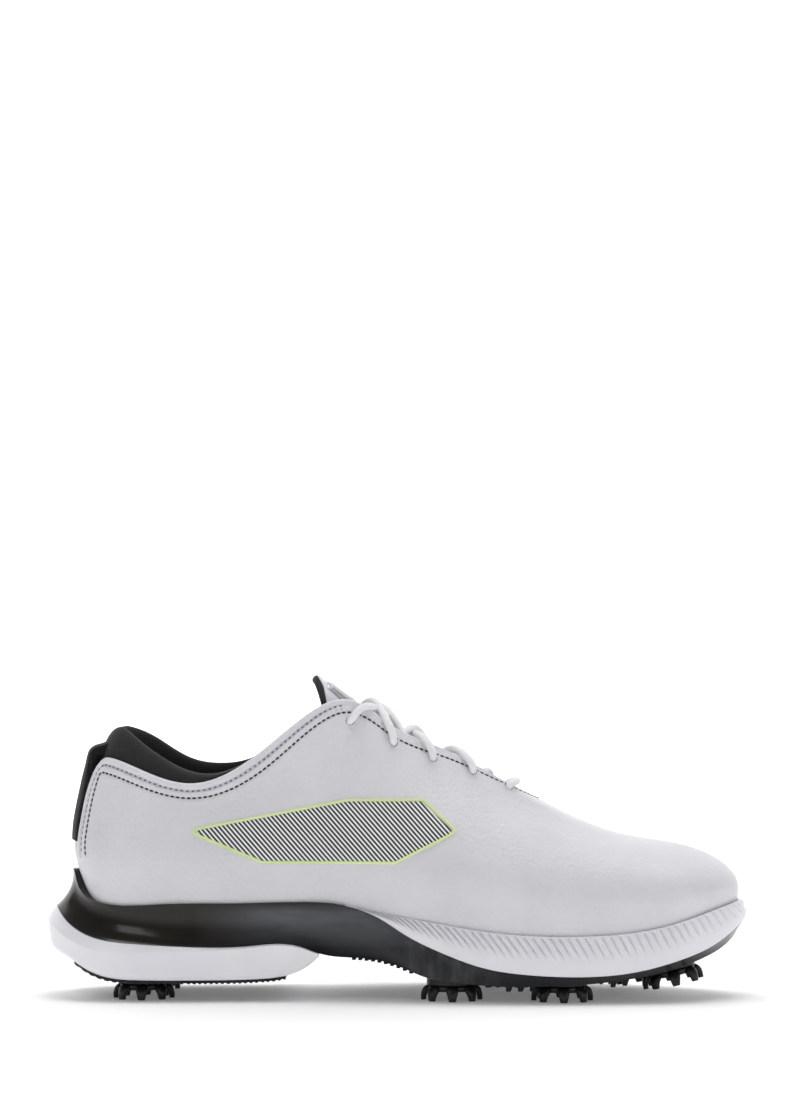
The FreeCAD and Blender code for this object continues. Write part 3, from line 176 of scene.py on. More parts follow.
def second_derivatives(knots, points):
    """Bends of natural cubic splines; knots is (..., n) and points is (..., n, k)."""
    step = np.diff(knots)
    slope = np.diff(points, axis=-2) / step[..., None]
    count = knots.shape[-1] - 2
    matrix = np.zeros(knots.shape[:-1] + (count, count))
    for i in range(count):
        matrix[..., i, i] = 2.0 * (step[..., i] + step[..., i + 1])
        if i:
            matrix[..., i, i - 1] = step[..., i]
            matrix[..., i - 1, i] = step[..., i]
    bends = np.zeros(points.shape)
    bends[..., 1:-1, :] = np.linalg.solve(matrix, 6.0 * np.diff(slope, axis=-2))
    return bends


def cubic(start, end, before, after, bend_before, bend_after, where):
    """Points of cubic spans between two knots."""
    span = (end - start)[..., None]
    right = (where - start)[..., None] / span
    left = 1.0 - right
    curve = (left ** 3 - left) * bend_before + (right ** 3 - right) * bend_after
    return left * before + right * after + curve * span * span / 6.0


class Spline:
    """A smooth curve through points at given knots: a natural cubic spline in every coordinate."""

    def __init__(self, knots, points):
        self.knots = np.array(knots, float)
        self.points = np.array(points, float)
        self.bends = second_derivatives(self.knots, self.points)

    def at(self, where):
        where = np.asarray(where, float)
        i = np.clip(np.searchsorted(self.knots, where) - 1, 0, len(self.knots) - 2)
        knots, points, bends = self.knots, self.points, self.bends
        return cubic(knots[i], knots[i + 1], points[i], points[i + 1], bends[i], bends[i + 1], where)


def profile(points):
    """Height as a smooth function of x, from (x, z) points in either direction."""
    ordered = sorted(points)
    spline = Spline([x for x, z in ordered], [(z,) for x, z in ordered])
    return lambda x: spline.at(x)[..., 0]


def path_run(points):
    """Distance along a path at each of its points."""
    lengths = np.linalg.norm(np.diff(points, axis=-2), axis=-1)
    return np.concatenate([np.zeros(lengths.shape[:-1] + (1,)), np.cumsum(lengths, axis=-1)], axis=-1)


def through(points, count):
    """Evenly spread samples of a smooth curve through points."""
    knots = path_run(points)
    return Spline(knots, points).at(np.linspace(0.0, knots[-1], count))


def around(level):
    """One level's stations all the way round: heel, lateral side, toe, medial side."""
    lateral = [(x, y_out, z) for x, z, y_out, y_in in level]
    medial = [(x, y_in, z) for x, z, y_out, y_in in level[-2:0:-1]]
    return lateral + medial


class Ring:
    """A closed smooth curve round the shoe. A turn of 0 is the heel, 1 the toe, 2 the heel again."""

    WRAP = 5

    def __init__(self, points, knots):
        wrap = self.WRAP
        points = points[-wrap:] + points + points[:wrap + 1]
        knots = [k - 2.0 for k in knots[-wrap:]] + knots + [k + 2.0 for k in knots[:wrap + 1]]
        self.curve = Spline(knots, points)

    def at(self, turns):
        return self.curve.at(np.mod(turns, 2.0))


def station_turns():
    """The turn of each station: the mean distance between stations over all levels and both sides."""
    steps = [0.0] * (len(BITE_LINE) - 1)
    for level in LEVELS:
        ring = around(level)
        total = len(ring)
        for i in range(len(steps)):
            steps[i] += math.dist(ring[i], ring[i + 1]) + math.dist(ring[-i % total], ring[-i - 1])
    turns = [0.0]
    for step in steps:
        turns.append(turns[-1] + step / sum(steps))
    return turns


STATION = station_turns()
TURNS = STATION + [2.0 - turn for turn in STATION[-2:0:-1]]
FEATHER_LINE = [(x, z - RIM_DEPTH, y_out, y_in) for x, z, y_out, y_in in BITE_LINE]
RINGS = [Ring(around(level), TURNS) for level in [FEATHER_LINE] + LEVELS]
BITE = 1
GIRTH = 330.0


class Ribs:
    """The upper's outer surface along many turns at once, from the feather edge up to the topline."""

    def __init__(self, turns):
        self.points = np.stack([ring.at(turns) for ring in RINGS], axis=-2)
        self.knots = path_run(self.points)
        self.bends = second_derivatives(self.knots, self.points)
        self.length = self.knots[..., -1]

    def at(self, heights):
        """Points at distances up the ribs, one for each rib."""
        low = (heights[..., None] > self.knots[..., 1:-1]).sum(axis=-1)[..., None]

        def knot(step):
            return np.take_along_axis(self.knots, low + step, axis=-1)[..., 0]

        def row(values, step):
            return np.take_along_axis(values, (low + step)[..., None], axis=-2)[..., 0, :]

        return cubic(knot(0), knot(1), row(self.points, 0), row(self.points, 1), row(self.bends, 0),
                     row(self.bends, 1), heights)


def surface(turns, heights, depth=0.0):
    """Points at a depth below the upper's outer surface, and the surface's outward normals."""
    turns, heights, depth = np.broadcast_arrays(*(np.asarray(a, float) for a in (turns, heights, depth)))
    step = 0.004
    ribs, ahead, behind = Ribs(turns), Ribs(turns + step), Ribs(turns - step)
    share = heights / ribs.length
    along = ahead.at(share * ahead.length) - behind.at(share * behind.length)
    up = ribs.at(heights + 0.5) - ribs.at(heights - 0.5)
    normals = unit(np.cross(up, along))
    return ribs.at(heights) - normals * depth[..., None], normals


def skin(turns, heights, depth=0.0):
    """Points at a depth below the upper's outer surface; a negative depth is outside it."""
    return surface(turns, heights, depth)[0]


def below_top(turns, distance, depth=0.0):
    """Points at a distance below the topline."""
    turns = np.asarray(turns, float)
    return skin(turns, Ribs(turns).length - distance, depth)


def mirrored(turns, side):
    """The same turns on the lateral (+1) or medial (-1) side."""
    return turns if side > 0 else 2.0 - turns


def turn_at_x(x, side, distance):
    """The turn on one side where the line below the topline passes x."""
    turns = np.linspace(0.0, 1.0, 1201)
    line = below_top(mirrored(turns, side), distance)
    return mirrored(np.interp(x, line[:, 0], turns), side)


bite_height = profile([(x, z) for x, z, y_out, y_in in BITE_LINE])
chassis_top = profile(CHASSIS_TOP)
chassis_bottom = profile(CHASSIS_BOTTOM)
wedge_bottom = profile(WEDGE_BOTTOM)
midsole_top = profile(MIDSOLE_TOP)
ridge_height = profile(TONGUE_RIDGE)
tongue_half_width = profile(TONGUE_HALF_WIDTH)
tongue_drop = profile(TONGUE_DROP)
tongue_arch = profile(TONGUE_ARCH)


def dish_floor(x):
    """Bottom of the sole's dish, a little under the upper."""
    return bite_height(np.clip(x, -134.0, 148.0)) - RIM_DEPTH - DISH_GAP


# ---------------------------------------------------------------- mesh tools


def grid_quads(rows, columns, close_rows=False, close_columns=False):
    """Quads of a grid of points listed row by row; either direction may close on itself."""
    i = np.arange(rows if close_rows else rows - 1)[:, None]
    j = np.arange(columns if close_columns else columns - 1)[None, :]
    next_i, next_j = (i + 1) % rows, (j + 1) % columns
    corners = [i * columns + j, i * columns + next_j, next_i * columns + next_j, next_i * columns + j]
    return np.stack([np.broadcast_to(c, (i.size, j.size)) for c in corners], axis=-1).reshape(-1, 4).tolist()


def make_piece(name, shape, slot, replaces=(), body="shoe", look=None, sharp=None):
    """An object in metres that rides on a body, from (points, faces); its look is its slot's unless given."""
    points, faces = shape
    mesh = bpy.data.meshes.new(name)
    mesh.from_pydata((np.asarray(points).reshape(-1, 3) * MM).tolist(), [], faces)
    work = bmesh.new()
    work.from_mesh(mesh)
    bmesh.ops.remove_doubles(work, verts=work.verts, dist=WELD)
    bmesh.ops.dissolve_degenerate(work, edges=work.edges, dist=WELD)
    bmesh.ops.recalc_face_normals(work, faces=work.faces)
    work.to_mesh(mesh)
    work.free()
    mesh.shade_smooth()
    if sharp:
        mesh.set_sharp_from_angle(angle=math.radians(sharp))
    piece = bpy.data.objects.new(name, mesh)
    bpy.context.scene.collection.objects.link(piece)
    mesh.materials.append(look or SLOT_LOOKS[slot])
    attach(piece, body)
    if replaces:
        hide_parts(*replaces)
    return piece


def closed_grid(points):
    """Points and faces of a grid that closes on itself both ways."""
    return points, grid_quads(*points.shape[:2], close_rows=True, close_columns=True)


def ellipse(half_width, half_height, count=16, lift=0.0, power=1.0):
    """A closed outline of (side, lift) offsets; a power below 1 makes it boxier."""
    cosine, sine = np.cos(circle(count)), np.sin(circle(count))
    side = np.sign(cosine) * np.abs(cosine) ** power * half_width
    up = np.sign(sine) * np.abs(sine) ** power * half_height + lift
    return np.stack([side, up], axis=-1)


def path_frame(path, normals):
    """Unit side and lift directions across a path."""
    tangent = unit(np.gradient(path, axis=0))
    side = unit(np.cross(normals, tangent))
    return side, np.cross(tangent, side)


def capped(rings):
    """Points and faces of a tube given by its rings, with a fan at each end."""
    rows, count = rings.shape[:2]
    faces = grid_quads(rows, count, close_columns=True)
    last = rows * count
    for j in range(count):
        faces.append([last, (j + 1) % count, j])
        faces.append([last + 1, last - count + j, last - count + (j + 1) % count])
    return np.concatenate([rings.reshape(-1, 3), [rings[0].mean(axis=0), rings[-1].mean(axis=0)]]), faces


def swept(path, side, lift, section):
    """Rings of a section carried along a path."""
    return path[:, None] + side[:, None] * section[..., :1] + lift[:, None] * section[..., 1:]


def tube(path, normals, section):
    """A capped tube; section is (count, 2), or (len(path), count, 2) where it changes."""
    return capped(swept(path, *path_frame(path, normals), section))


def resample(path, normals, step):
    """Points at even steps along a path, with their directions and normals."""
    run = path_run(path)
    at = step * (np.arange(int(run[-1] / step)) + 0.5)

    def pick(values):
        return np.stack([np.interp(at, run, values[:, k]) for k in range(3)], axis=-1)

    return pick(path), unit(pick(np.gradient(path, axis=0))), unit(pick(normals))


def join(parts):
    """Several (points, faces) meshes as one."""
    points, faces, first = [], [], 0
    for part_points, part_faces in parts:
        part_points = np.asarray(part_points).reshape(-1, 3)
        points.append(part_points)
        faces.extend([[index + first for index in face] for face in part_faces])
        first += len(part_points)
    return np.concatenate(points), faces


def beads(centres, along, normals, length, width, height, rings=5, count=8):
    """One small rounded bead at each place: a stitch."""
    angle = np.linspace(-0.5 * math.pi, 0.5 * math.pi, rings)
    reach = np.sin(angle) * length / 2.0
    girth = np.cos(angle) ** 0.6
    outline = ellipse(width / 2.0, height / 2.0, count)
    side = np.cross(normals, along)
    points = (centres[:, None, None] + along[:, None, None] * reach[None, :, None, None]
              + side[:, None, None] * (girth[:, None] * outline[None, :, 0])[None, ..., None]
              + normals[:, None, None] * (girth[:, None] * outline[None, :, 1])[None, ..., None])
    one = np.array(grid_quads(rings, count, close_columns=True))
    steps = np.arange(len(centres))[:, None, None] * rings * count
    return points.reshape(-1, 3), (one[None] + steps).reshape(-1, 4).tolist()


def slab(outer, inner):
    """Points and faces of a closed sheet between two grids of the same size."""
    rows, columns = outer.shape[:2]
    points = np.concatenate([outer, inner[:, ::-1]], axis=1)
    around_count = 2 * columns
    faces = grid_quads(rows, around_count, close_columns=True)
    for first in (0, (rows - 1) * around_count):
        for j in range(columns - 1):
            far = around_count - 1 - j
            faces.append([first + j, first + j + 1, first + far - 1, first + far])
    return points, faces


def transported(path):
    """Normals that follow a path without twisting."""
    tangents = unit(np.gradient(path, axis=0))
    normal = unit(np.cross(tangents[0], np.array([0.0, 1.0, 0.0])))
    normals = []
    for tangent in tangents:
        normal = unit(normal - tangent * np.dot(normal, tangent))
        normals.append(normal)
    return np.array(normals)


# ---------------------------------------------------------------- materials


def add_node(tree, kind, inputs=None, **settings):
    """A shader node; each input is a value, or another node's output socket to link from."""
    made = tree.nodes.new(kind)
    for name, value in settings.items():
        setattr(made, name, value)
    for key, value in (inputs or {}).items():
        if isinstance(value, bpy.types.NodeSocket):
            tree.links.new(value, made.inputs[key])
        else:
            made.inputs[key].default_value = value
    return made


# How many bands a wave texture of scale 1 draws in one unit.
BANDS_PER_UNIT = 3.18


class Look:
    """A procedural material built up from patterns in the object's own space."""

    def __init__(self, name, roughness, **settings):
        self.material = bpy.data.materials.new(name)
        self.material.use_nodes = True
        self.tree = self.material.node_tree
        self.shader = self.tree.nodes["Principled BSDF"]
        self.shader.inputs["Roughness"].default_value = roughness
        for key, value in settings.items():
            self.shader.inputs[key.replace("_", " ")].default_value = value
        self.place = add_node(self.tree, "ShaderNodeTexCoord").outputs["Object"]
        self.last_bump = None

    def noise(self, size_mm, detail=3.0, roughness=0.5, stretch=(1.0, 1.0, 1.0)):
        """Noise whose features are about size_mm across, 0 to 1."""
        scaled = add_node(self.tree, "ShaderNodeMapping", {"Vector": self.place, "Scale": stretch})
        made = add_node(self.tree, "ShaderNodeTexNoise", {
            "Vector": scaled.outputs[0], "Scale": 1000.0 / size_mm, "Detail": detail,
            "Roughness": roughness})
        return made.outputs["Fac"]

    def cells(self, size_mm):
        """Pebbled grain whose cells are about size_mm across."""
        made = add_node(self.tree, "ShaderNodeTexVoronoi", {"Vector": self.place, "Scale": 1000.0 / size_mm})
        return made.outputs["Distance"]

    def waves(self, size_mm, bands="X", turn=(0.0, 0.0, 0.0), distort=0.0):
        """Parallel bands of a width, turned by Euler angles."""
        turned = add_node(self.tree, "ShaderNodeMapping", {"Vector": self.place, "Rotation": turn})
        made = add_node(self.tree, "ShaderNodeTexWave", {
            "Vector": turned.outputs[0], "Scale": 1000.0 / size_mm / BANDS_PER_UNIT,
            "Distortion": distort, "Detail Scale": 1.0}, bands_direction=bands)
        return made.outputs["Fac"]

    def maths(self, operation, first, second=0.0):
        return add_node(self.tree, "ShaderNodeMath", {0: first, 1: second}, operation=operation).outputs[0]

    def part_of_place(self, axis):
        return add_node(self.tree, "ShaderNodeSeparateXYZ", {0: self.place}).outputs[axis]

    def span(self, value, low, high, out_low=0.0, out_high=1.0):
        """A value rescaled from one range to another and clamped."""
        made = add_node(self.tree, "ShaderNodeMapRange", {
            "Value": value, "From Min": low, "From Max": high, "To Min": out_low, "To Max": out_high})
        return made.outputs[0]

    def blend(self, share, first, second):
        """A colour between two, each an rgb tuple or a socket."""
        first, second = ((*value, 1.0) if isinstance(value, tuple) else value for value in (first, second))
        made = add_node(self.tree, "ShaderNodeMix", {0: share, 6: first, 7: second}, data_type="RGBA")
        return made.outputs[2]

    def colour(self, share, first, second):
        """The surface's colour, between two by a share from 0 to 1."""
        self.tree.links.new(self.blend(share, first, second), self.shader.inputs["Base Color"])

    def roughness(self, value):
        self.tree.links.new(value, self.shader.inputs["Roughness"])

    def bump(self, height, depth_mm, strength=1.0):
        """Adds relief of a depth on top of what is already there."""
        inputs = {"Height": height, "Distance": depth_mm * MM, "Strength": strength}
        if self.last_bump:
            inputs["Normal"] = self.last_bump
        self.last_bump = add_node(self.tree, "ShaderNodeBump", inputs).outputs[0]
        self.tree.links.new(self.last_bump, self.shader.inputs["Normal"])


def leather_look(name, shade=(0.68, 0.675, 0.715), bright=(0.72, 0.715, 0.75)):
    """Smooth full-grain leather: fine pebble, faint creasing, slightly uneven colour."""
    look = Look(name, 0.42, Specular_IOR_Level=0.45, Coat_Weight=0.08, Coat_Roughness=0.35)
    look.colour(look.span(look.noise(26.0, 4.0), 0.35, 0.65), shade, bright)
    look.roughness(look.span(look.noise(3.0, 3.0), 0.3, 0.7, 0.38, 0.5))
    look.bump(look.cells(1.7), 0.26, 0.9)
    look.bump(look.noise(2.6, 4.0, 0.6), 0.55, 0.7)
    look.bump(look.noise(7.0, 5.0, 0.62), 0.40, 0.5)
    return look.material


def knit_look(name, dark=(0.018, 0.018, 0.019), bright=(0.062, 0.062, 0.065), stitch=0.9):
    """Fine knitted fabric: crossing ribs of yarn with a soft sheen."""
    look = Look(name, 0.85, Sheen_Weight=0.12, Sheen_Roughness=0.5, Specular_IOR_Level=0.15)
    rows = look.waves(stitch, "Z")
    courses = look.waves(stitch, distort=0.4)
    yarn = look.maths("MULTIPLY", rows, courses)
    look.colour(look.maths("MULTIPLY", yarn, look.noise(14.0)), dark, bright)
    look.bump(yarn, 0.18, 0.7)
    look.bump(look.noise(0.35, 2.0), 0.05, 0.4)
    return look.material


def strap_look(name):
    """Tightly woven webbing in black yarn."""
    look = Look(name, 0.72, Sheen_Weight=0.08, Specular_IOR_Level=0.2)
    warp = look.waves(1.1, "Y")
    weft = look.waves(0.8, "Z", (0.0, 0.35, 0.0))
    weave = look.maths("MULTIPLY", warp, weft)
    look.colour(weave, (0.005, 0.005, 0.006), (0.022, 0.022, 0.024))
    look.bump(weave, 0.22, 0.8)
    return look.material


def soft_plastic_look(name, shade, bright, gloss=0.36, grain=0.5, depth=0.03, mirror=0.5):
    """Moulded rubber or foam: satin, with a fine mould texture and faint flow marks."""
    look = Look(name, gloss, Specular_IOR_Level=mirror)
    look.colour(look.span(look.noise(32.0, 3.0), 0.35, 0.65), shade, bright)
    look.roughness(look.span(look.noise(6.0, 3.0), 0.3, 0.7, gloss - 0.05, gloss + 0.08))
    look.bump(look.noise(grain, 2.0), depth, 0.5)
    look.bump(look.noise(12.0, 2.0, 0.4), 0.10, 0.2)
    return look.material


def smoke_look(name):
    """Smoky see-through plastic, drawn opaque: brown-black at heel and rim; the blue-grey at the arch, where
    the plastic is thin, is painted light showing through it, and the pale streaks at the front are painted
    highlights.
    """
    look = Look(name, 0.2, Specular_IOR_Level=0.28, Coat_Weight=0.12, Coat_Roughness=0.06)
    x = look.part_of_place(0)
    z = look.part_of_place(2)
    # Painted light: the upper band of the arch turns pale blue-grey, as if light showed through the thin
    # plastic.
    arch = look.maths("MULTIPLY", look.span(x, -0.085, -0.045), look.span(x, 0.035, 0.0))
    upper = look.maths("MULTIPLY", look.span(z, 0.022, 0.034), look.span(z, 0.0405, 0.037))
    cloud = look.span(look.noise(22.0, 3.0, 0.5, (0.5, 1.0, 1.6)), 0.35, 0.65, 0.45, 1.0)
    # Painted highlights: pale streaks, stretched upright, on the front part of the chassis.
    highlight_streaks = look.span(look.noise(4.5, 2.0, 0.5, (1.0, 1.0, 0.06)), 0.35, 0.8)
    front = look.maths("MULTIPLY", look.span(x, 0.002, 0.012), look.span(x, 0.045, 0.03))
    # glow is painted light mixed into the colour: the light through the arch and the highlight streaks at the
    # front.
    glow = look.maths("ADD", look.maths("MULTIPLY", look.maths("MULTIPLY", arch, upper), cloud),
                      look.maths("MULTIPLY", look.maths("MULTIPLY", front, highlight_streaks), 0.5))
    body = look.blend(look.span(x, -0.09, -0.02), (0.012, 0.010, 0.007), (0.008, 0.009, 0.011))
    look.colour(glow, body, (0.105, 0.110, 0.122))
    look.bump(look.noise(9.0, 2.0, 0.4), 0.12, 0.15)
    return look.material


def lace_look(name):
    """Round braid: crossing strands round the cord, picked out by the braid's own relief."""
    look = Look(name, 0.7, Sheen_Weight=0.2, Specular_IOR_Level=0.3)
    look.colour(look.span(look.noise(1.2, 2.0), 0.3, 0.7), (0.80, 0.80, 0.82), (0.88, 0.88, 0.90))
    look.bump(look.noise(0.25, 2.0), 0.05, 0.5)
    return look.material


def hatch_look(name):
    """Printed film: fine slanted dark lines on a pale grey ground."""
    look = Look(name, 0.45, Specular_IOR_Level=0.4)
    lines = look.waves(1.5, turn=(0.0, math.radians(42.0), 0.0))
    ink = look.span(lines, 0.40, 0.60)
    ground = look.blend(look.noise(6.0), (0.80, 0.81, 0.82), (0.87, 0.88, 0.89))
    look.colour(ink, ground, (0.012, 0.013, 0.015))
    look.bump(ink, 0.04, 0.5)
    look.bump(look.cells(1.1), 0.03, 0.3)
    return look.material


def thread_look(name, colour):
    """Twisted sewing thread."""
    look = Look(name, 0.6, Sheen_Weight=0.2, Specular_IOR_Level=0.3)
    twist = look.waves(0.5, turn=(0.0, math.radians(30.0), math.radians(20.0)))
    brighter = tuple(min(1.0, channel * 1.35 + 0.01) for channel in colour)
    look.colour(twist, colour, brighter)
    look.bump(twist, 0.06, 0.6)
    return look.material


def badge_look(name):
    """Satin metallic film with a brushed grain."""
    look = Look(name, 0.34, Metallic=0.55, Specular_IOR_Level=0.5)
    brushed = look.noise(0.5, 3.0, 0.6, (1.0, 0.04, 1.0))
    look.colour(brushed, (0.30, 0.31, 0.33), (0.48, 0.49, 0.51))
    look.roughness(look.span(brushed, 0.3, 0.7, 0.28, 0.42))
    look.bump(brushed, 0.02, 0.4)
    return look.material


def film_look(name, colour):
    """Clear or coated moulded film over something paler."""
    look = Look(name, 0.12, Specular_IOR_Level=0.5, Coat_Weight=0.3)
    paler = tuple(min(1.0, channel * 1.12) for channel in colour)
    look.colour(look.noise(9.0), colour, paler)
    look.bump(look.noise(4.0), 0.05, 0.2)
    return look.material


LIME_LOOK = soft_plastic_look("pale lime film", (0.66, 0.80, 0.34), (0.74, 0.86, 0.42), 0.4, 0.8)
BLACK_THREAD = thread_look("black thread", (0.02, 0.02, 0.025))
BLUE_THREAD = thread_look("blue grey thread", (0.15, 0.17, 0.25))
PALE_THREAD = thread_look("pale thread", (0.34, 0.35, 0.36))
SLOT_LOOKS = {
    "white_leather": leather_look("white leather"),
    "black_knit": knit_look("black knit"),
    "black_strap": strap_look("black strap"),
    "white_lining": knit_look("white lining", (0.66, 0.66, 0.68), (0.82, 0.82, 0.84)),
    "foam": soft_plastic_look("collar foam", (0.62, 0.62, 0.58), (0.72, 0.72, 0.68), 0.8, 0.8, 0.1),
    "stiffener": soft_plastic_look("stiffener", (0.60, 0.58, 0.54), (0.70, 0.68, 0.64), 0.6),
    "lace_white": lace_look("lace braid"),
    "lace_tip": film_look("lace tip", (0.74, 0.75, 0.77)),
    "graphic_panel": hatch_look("hatched film"),
    "badge": badge_look("badge film"),
    "midsole_white": soft_plastic_look("midsole foam", (0.79, 0.79, 0.835), (0.84, 0.84, 0.88), 0.34),
    "smoke_plastic": smoke_look("smoky plastic"),
    "black_rubber": soft_plastic_look("black rubber", (0.006, 0.006, 0.006), (0.012, 0.012, 0.012), 0.34,
                                      mirror=0.25),
    "air_film": film_look("air film", (0.66, 0.70, 0.72)),
    "shank_plate": knit_look("shank weave", (0.012, 0.012, 0.013), (0.05, 0.05, 0.055), 2.0),
    "receptacle": soft_plastic_look("receptacle", (0.012, 0.012, 0.013), (0.022, 0.022, 0.024), 0.35,
                                    mirror=0.3),
    "spike_hub": soft_plastic_look("spike hub", (0.008, 0.008, 0.009), (0.015, 0.015, 0.016), 0.22,
                                   mirror=0.4),
    "spike_rubber": soft_plastic_look("spike rubber", (0.006, 0.006, 0.006), (0.012, 0.012, 0.012), 0.28,
                                      mirror=0.3),
    "board": knit_look("board", (0.60, 0.59, 0.56), (0.72, 0.71, 0.68), 1.4),
    "insole_foam": soft_plastic_look("insole foam", (0.10, 0.10, 0.11), (0.15, 0.15, 0.16), 0.7, 0.7, 0.1),
    "insole_cover": knit_look("insole cloth", (0.025, 0.025, 0.028), (0.055, 0.055, 0.06), 0.8),
}


def dress_cad_nodes():
    """Every CAD node that stays visible takes its slot's material."""
    slots = {part["node"]: part["material_slot"] for part in frame["record"]["subparts"]}
    for name, node in frame["nodes"].items():
        look = SLOT_LOOKS[slots[name]]
        for place in node.material_slots:
            place.material = look
        if not node.material_slots:
            node.data.materials.append(look)


# ---------------------------------------------------------------- the upper's edge

TAB_EDGE = TAB_TURN * GIRTH
FRONT_REACH = GIRTH - TAB_EDGE


def edge_drop(reach):
    """How far the leather's edge is cut down near the strap, by the distance from the strap."""
    inside = np.clip(CORNER_RADIUS - reach, 0.0, CORNER_RADIUS)
    return CORNER_RADIUS - np.sqrt(CORNER_RADIUS ** 2 - inside ** 2)


def edge_distance(reach, below):
    """Distance from the leather's finished edge: down beside the strap, round the corner, along the top."""
    from_corner = CORNER_RADIUS - np.hypot(CORNER_RADIUS - reach, CORNER_RADIUS - below)
    at_corner = (reach < CORNER_RADIUS) & (below < CORNER_RADIUS)
    return np.where(at_corner, from_corner, np.minimum(np.abs(reach), below))


def tab_foot_below(side):
    """Distance below the topline, beside the strap, where the strap's finished edges begin."""
    below = np.linspace(20.0, 60.0, 161)
    heights = below_top(np.full(161, mirrored(TAB_TURN, side)), below)[:, 2]
    return np.interp(-TAB_FOOT, -heights, below)


def border(distance, depth, side):
    """The line at a distance inside the finished edge on one side: points and outward normals."""
    bend = np.linspace(0.0, 0.5 * math.pi, 16)
    radius = CORNER_RADIUS - distance
    down = np.linspace(tab_foot_below(side), CORNER_RADIUS, 40, endpoint=False)
    along = np.linspace(CORNER_RADIUS, FRONT_REACH, 420)[1:]
    reach = np.concatenate([np.full(40, distance), CORNER_RADIUS - radius * np.cos(bend), along])
    below = np.concatenate([down, CORNER_RADIUS - radius * np.sin(bend), np.full(419, distance)])
    turns = mirrored(TAB_TURN + reach / GIRTH, side)
    return surface(turns, Ribs(turns).length - below, depth)


def border_path(distance, depth):
    """That line on both sides: from the strap's lateral foot round the throat to its medial foot."""
    outer, inner = (border(distance, depth, side) for side in (1, -1))
    return tuple(np.concatenate([outer[i], inner[i][-2::-1]]) for i in range(2))


# ---------------------------------------------------------------- upper

def leather_turns():
    """Where the leather's mesh has its columns: close together beside the strap."""
    under = np.arange(0.0, TAB_EDGE, 1.4)
    beside = np.arange(TAB_EDGE, TAB_EDGE + 10.0, 0.45)
    rest = np.linspace(TAB_EDGE + 10.0, GIRTH, 370)
    half = np.concatenate([under, beside, rest]) / GIRTH
    return np.concatenate([half, 2.0 - half[-2:0:-1]])


def edge_relief(distance, collar):
    """Height of the leather near its finished edge: a stitched groove, a padded band, a second groove."""
    band = smooth_step(distance, 3.1, 3.7) * (1.0 - smooth_step(distance, 5.8, 6.5))
    relief = (-0.42 * hump(distance, 3.0, 0.5) + 0.34 * band) * collar
    return relief - 0.26 * hump(distance, STITCH_DISTANCE, 0.55) + 0.12 * hump(distance, 8.3, 1.3)


def eyelet_places():
    """Turn and distance up the rib of every lace hole, by side and number from the top."""
    places = {}
    for side in (1, -1):
        for number, (x, distance) in enumerate(EYELETS):
            turn = turn_at_x(x, side, distance)
            places[side, number] = (turn, Ribs(turn).length - distance)
    return places


HOLES = eyelet_places()


def build_leather():
    """The upper's leather, with its edge relief and a sunken dip at each lace hole."""
    turns = leather_turns()
    ribs = Ribs(turns)
    reach = (np.minimum(turns, 2.0 - turns) - TAB_TURN) * GIRTH
    top = ribs.length - edge_drop(reach)
    coarse = np.linspace(0.0, 1.0, 46, endpoint=False)[:, None] * (top - 13.5)
    fine = top - np.linspace(13.5, 0.8, 32)[:, None]
    outer = np.concatenate([coarse, fine])
    below = ribs.length - outer
    distance = edge_distance(np.broadcast_to(reach, outer.shape), below)
    grid_turns = np.broadcast_to(turns, outer.shape)
    points, normals = surface(grid_turns, outer, 0.0)
    above_foot = smooth_step(points[..., 2], TAB_FOOT - 2.0, TAB_FOOT + 2.0)
    collar = (1.0 - smooth_step(points[..., 0], -32.0, -16.0)) * above_foot
    relief = edge_relief(distance, collar) * above_foot
    for turn, height in HOLES.values():
        centre = skin(turn, height)
        gap = np.linalg.norm(points - centre, axis=-1)
        relief = relief - 1.1 * (1.0 - smooth_step(gap, 1.3, 2.4)) + 0.22 * hump(gap, 3.0, 0.5)
    points = points + normals * relief[..., None]
    share = np.linspace(1.0, 0.0, 22)[:, None]
    inner = skin(np.broadcast_to(turns, (22, len(turns))), share * (top - 0.8), LEATHER)
    shape = closed_grid(np.concatenate([points, inner]))
    make_piece("upper_leather", shape, "white_leather", ["upper_shell"])


def build_topline():
    """Rolled edge of the collar and throat, with its rows of stitches."""
    path, normals = border_path(1.0, 0.75)
    slim = smooth_step(path[:, 0], -34.0, -14.0)
    radius = 1.62 - 0.72 * slim
    section = ellipse(1.0, 1.0, 12)[None] * radius[:, None, None]
    make_piece("topline_roll", tube(path, normals, section), "white_leather", ["topline_band"])
    rows = (
        ("edge_stitches_black", STITCH_DISTANCE, 2.35, 1.9, 0.85, BLACK_THREAD, 999.0),
        ("edge_stitches_blue", 3.0, 2.4, 1.3, 0.75, BLUE_THREAD, -22.0),
        ("edge_stitches_pale", 4.6, 2.4, 0.95, 0.75, PALE_THREAD, -22.0),
    )
    for name, distance, pitch, length, width, look, front in rows:
        path, normals = border_path(distance, -0.06)
        centres, along, upright = resample(path, normals, pitch)
        kept = centres[:, 0] < front
        shape = beads(centres[kept], along[kept], upright[kept], length, width, 0.5)
        make_piece(name, shape, "white_leather", look=look)


def build_eyelets():
    """Pressed rim round every lace hole."""
    rims = []
    angle = circle(28)
    for turn, height in HOLES.values():
        centre, normal = surface(turn, height, 0.15)
        forward = unit(np.cross(normal, UP))
        upward = np.cross(normal, forward)
        spokes = np.cos(angle)[:, None] * forward + np.sin(angle)[:, None] * upward
        outline = ellipse(0.42, 0.42, 8)
        points = centre + spokes[:, None] * (2.25 + outline[:, :1]) + normal * outline[:, 1:]
        rims.append(closed_grid(points))
    make_piece("lace_hole_rims", join(rims), "white_leather")


# ---------------------------------------------------------------- collar and strap

